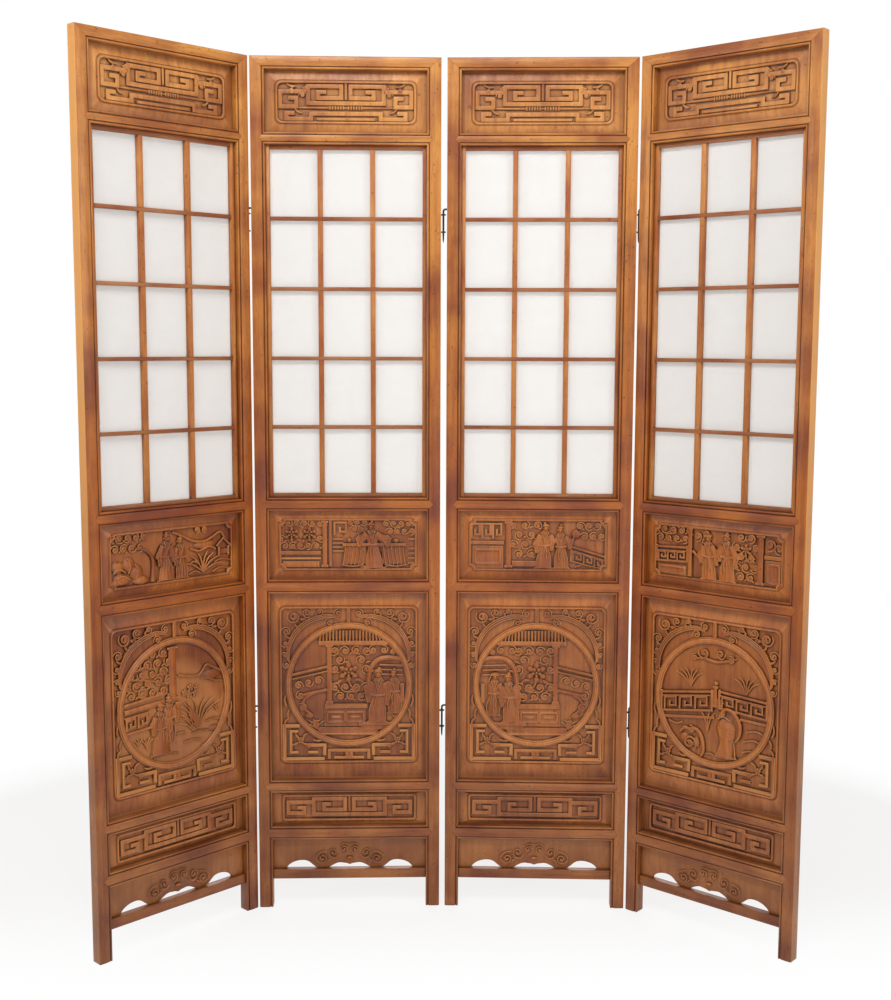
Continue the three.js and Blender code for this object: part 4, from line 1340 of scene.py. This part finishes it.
def topOrnament(work):   # rosettes on the fret, a ribbed roll and the plank below it
    centre = panel["centre"]
    rosette(work, centre - 96, 2026, 9, 6.6)
    volute(work, centre - 104, 2012, 8, 90, -1, 1.2)
    leaf(work, centre - 118, 2032, 24, 165, 9)
    leaf(work, centre - 104, 1970, 20, 150, 8)
    volute(work, centre - 130, 2022, 7, 0, 1, 1.2)
    for i in range(6):
        stroke(work, [(centre - 6 - 6.4 * i, 1978), (centre - 6 - 6.4 * i, 1987)], 4.4, 6.2)
    stroke(work, [(centre - 112, 1982.5), (centre - 80, 1982.5), (centre - 42, 1982.5)], (4, 7, 7), 5.8)
    stroke(work, [(centre - 40, 1982.5), (centre + 1, 1982.5)], 7, 4.6)
    mirrorWork(work)


def apronRelief(work):   # a loose chain of thin cloud scrolls over the middle arch, with a bud below
    centre = panel["centre"]
    for x, z, radius, start, hand in ((69, 123, 13, 300, 1), (42, 139, 12, 170, -1), (15, 147, 11, 20, 1)):
        volute(work, centre - x, z, radius, start, hand, 1.2, 3.6, 4.8)
    for line in ([(84, 114), (84, 130), (72, 139), (58, 142)], [(54, 128), (48, 124), (36, 124), (27, 132)],
                 [(26, 154), (14, 162), (0, 159)], [(58, 111), (54, 118), (48, 120)]):
        stroke(work, [(centre - x, z) for x, z in line], (1.6, 3.8, 2.6), 4.6)
    dome(work, centre, 124, 9, 4.4, 5.2)
    mirrorWork(work)


def carveFor(name, scene, keepInside, numbers, node, material):
    work = newWork()
    scene(work)
    relief = carve(work, keepInside)
    for number in numbers:
        install(relief, name, number, [f"panel_{number}_{node}"], material)
    print(f"{name} {numbers}: {len(relief.data.polygons)} faces")
    bpy.data.objects.remove(relief)


allPanels = (1, 2, 3, 4)
for number, scene in enumerate((medallionOne, medallionTwo, medallionThree, medallionFour), 1):
    carveFor("medallion_scene", scene, insideRing, (number,), "medallion_board", elmCarved)
for number, scene in enumerate((waistOne, waistTwo, waistThree, waistFour), 1):
    carveFor("waist_scene", scene, fields["waist"], (number,), "waist_unit", elmCarved)
carveFor("corner_scrolls", spandrels, fields["corners"], allPanels, "medallion_board", elmCarved)
carveFor("top_ornament", topOrnament, fields["top"], allPanels, "top_board", elmCarved)
carveFor("apron_scrolls", apronRelief, fields["apron"], allPanels, "apron_unit", elmBoard)
print("carving is in")


# Sash and paper

sash = {"front": -2, "back": 10, "edge": 10, "upright": 12, "cross": 9, "columns": 3, "rows": 5, "eased": 0.9}
paperSheet = {"front": 10.3, "back": 11.3, "margin": 1}


def makeSash():
    z0, z1 = openings["window"]
    x0, x1, z0, z1 = panel["left"] + gap, panel["right"] - gap, z0 + gap, z1 - gap
    edge, thick, thin = sash["edge"], sash["upright"], sash["cross"]
    front, back = sash["front"], sash["back"]
    halved = (front + back) / 2
    paneWidth = (x1 - x0 - 2 * edge - (sash["columns"] - 1) * thick) / sash["columns"]
    paneHeight = (z1 - z0 - 2 * edge - (sash["rows"] - 1) * thin) / sash["rows"]
    uprights = [x0 + edge + (i + 1) * paneWidth + i * thick for i in range(sash["columns"] - 1)]
    crosses = [z0 + edge + (i + 1) * paneHeight + i * thin for i in range(sash["rows"] - 1)]
    joint = 0.1
    for name, x in (("left", x0), ("right", x1 - edge)):
        side = easeEdges(block(x, x + edge, front, back, z0, z1), sash["eased"])
        installAll(smooth(side), f"sash_{name}_edge", "lattice", elmSashUpright)
    for name, z in (("bottom", z0), ("top", z1 - edge)):
        side = easeEdges(block(x0 + edge + joint, x1 - edge - joint, front, back, z, z + edge), sash["eased"])
        installAll(smooth(side), f"sash_{name}_edge", "lattice", elmSashLevel)
    for place, x in zip(("left", "right"), uprights):
        upright = block(x, x + thick, front, back, z0 + edge + joint, z1 - edge - joint)
        easeEdges(upright, sash["eased"])
        notches = [block(x - 1, x + thick + 1, front - 1, halved, z - joint, z + thin + joint)
                   for z in crosses]
        boolean(upright, join(notches), "DIFFERENCE")
        installAll(smooth(upright), f"sash_upright_{place}", "lattice", elmSashUpright)
    for letter, z in zip("abcd", crosses):
        cross = block(x0 + edge + joint, x1 - edge - joint, front, back, z, z + thin)
        easeEdges(cross, sash["eased"])
        notches = [block(x - joint, x + thick + joint, halved - joint, back + 1, z - 1, z + thin + 1)
                   for x in uprights]
        boolean(cross, join(notches), "DIFFERENCE")
        installAll(smooth(cross), f"sash_cross_bar_{letter}", "lattice", elmSashLevel)


def makePaper():
    z0, z1 = openings["window"]
    margin = paperSheet["margin"]
    sheet = block(panel["left"] + margin, panel["right"] - margin, paperSheet["front"], paperSheet["back"],
                  z0 + margin, z1 - margin)
    return easeEdges(sheet, 0.2, 1)


makeSash()
installAll(makePaper(), "window_paper", "paper", paperWhite)
print("sashes and paper are in")


# Apron

arches = {"side": (160, 120, 80, 117), "middle": (56, 24, 110), "bud": (8, 108, 105)}


def bezier(a, b, c, d, steps):
    points = []
    for i in range(steps):
        t = i / steps
        s = 1 - t
        points.append(tuple(s ** 3 * a[k] + 3 * s * s * t * b[k] + 3 * s * t * t * c[k] + t ** 3 * d[k]
                            for k in (0, 1)))
    return points


def apronEdge(foot):
    outer, crown, inner, top = arches["side"]
    middle, shoulder, middleTop = arches["middle"]
    bud, budTop, tip = arches["bud"]
    edge = bezier((outer, foot), (outer - 4, top - 9), (crown + 18, top), (crown, top), 10)
    edge += bezier((crown, top), (crown - 22, top), (inner + 18, foot + 7), (inner, foot), 10)
    edge += [(inner, foot)]
    edge += bezier((middle, foot), (middle - 8, foot + 3), (shoulder + 12, middleTop),
                   (shoulder, middleTop), 8)
    return edge + [(shoulder, middleTop), (bud, budTop), (0, tip)]


def makeApron():
    z0, z1 = openings["apron"]
    foot = rod["foot"][0] + 0.2
    left, right = panel["left"] - boardCut["tongue"], panel["right"] + boardCut["tongue"]
    half = apronEdge(foot)
    outline = [(left, foot)] + [(panel["centre"] - x, z) for x, z in half]
    outline += [(panel["centre"] + x, z) for x, z in half[:-1][::-1]]
    outline += [(right, foot), (right, z1 + boardCut["tongue"]), (left, z1 + boardCut["tongue"])]
    return easeEdges(plate(outline, boardCut["front"], boardCut["back"]), 0.8, 2, 60)


installAll(smooth(makeApron()), "apron_arched", "apron_unit", elmBoard)
print("aprons are in")


# Iron hinges

hinge = {"wire": 2.35, "tipWire": 0.7, "bend": 5, "spike": 22, "arms": {"upper": 1747, "lower": 521},
         "eyeDrops": {"top": 13, "bottom": 54}, "drop": 58, "tip": 79, "eyeRadius": 4.9, "eyeWire": 1.6}


def forgedWire(points, radius):   # points: x, y, z and share of the radius
    return smooth(cleaned(wires([points], radius, 4)), 50)


def makeHook(arm):
    axis, bend = -row["fromHook"], hinge["bend"]
    thin = hinge["tipWire"] / hinge["wire"]
    points = [(hinge["spike"], 0, arm, thin), (hinge["spike"] * 0.6, 0, arm, 0.8), (2, 0, arm, 1)]
    points += [(x, 0, z, 1) for x, z in arc(axis + bend, arm - bend, bend, 90, 180, 8)]
    points += [(axis, 0, arm - hinge["drop"] * 0.5, 1.04), (axis, 0, arm - hinge["drop"], 1),
               (axis, 0, arm - hinge["tip"] + 6, 0.75), (axis, 0, arm - hinge["tip"], thin)]
    return forgedWire(points, hinge["wire"])


def makeEye(height):
    axis, radius = panel["width"] + row["fromEye"], hinge["eyeRadius"]
    leg = hinge["eyeWire"] * 0.95
    start = math.degrees(math.asin(leg / radius))
    ring = arc(axis, 0, radius, 180 + start, 540 - start, 24)
    points = [(panel["width"] - 16, -leg, height, 0.5), (panel["width"] - 2, -leg, height, 1)]
    points += [(x, y, height, 1) for x, y in ring]
    points += [(panel["width"] - 2, leg, height, 1), (panel["width"] - 16, leg, height, 0.5)]
    return forgedWire(points, hinge["eyeWire"])


for number in (2, 3, 4):
    pair = f"{number - 1}_{number}"
    eyeStile = f"panel_{number - 1}_stile_right"
    for place, arm in hinge["arms"].items():
        hook = makeHook(arm)
        install(hook, f"hinge_hook_{place}", number, [f"hook_{pair}_{place}"], ironBlack)
        bpy.data.objects.remove(hook)
        for end, drop in hinge["eyeDrops"].items():
            eye = makeEye(arm - drop)
            install(eye, f"hinge_eye_{place}_{end}", number - 1, [eyeStile], ironBlack)
            bpy.data.objects.remove(eye)
print("iron is in")

for curve in [data for data in bpy.data.curves if not data.users]:
    bpy.data.curves.remove(curve)
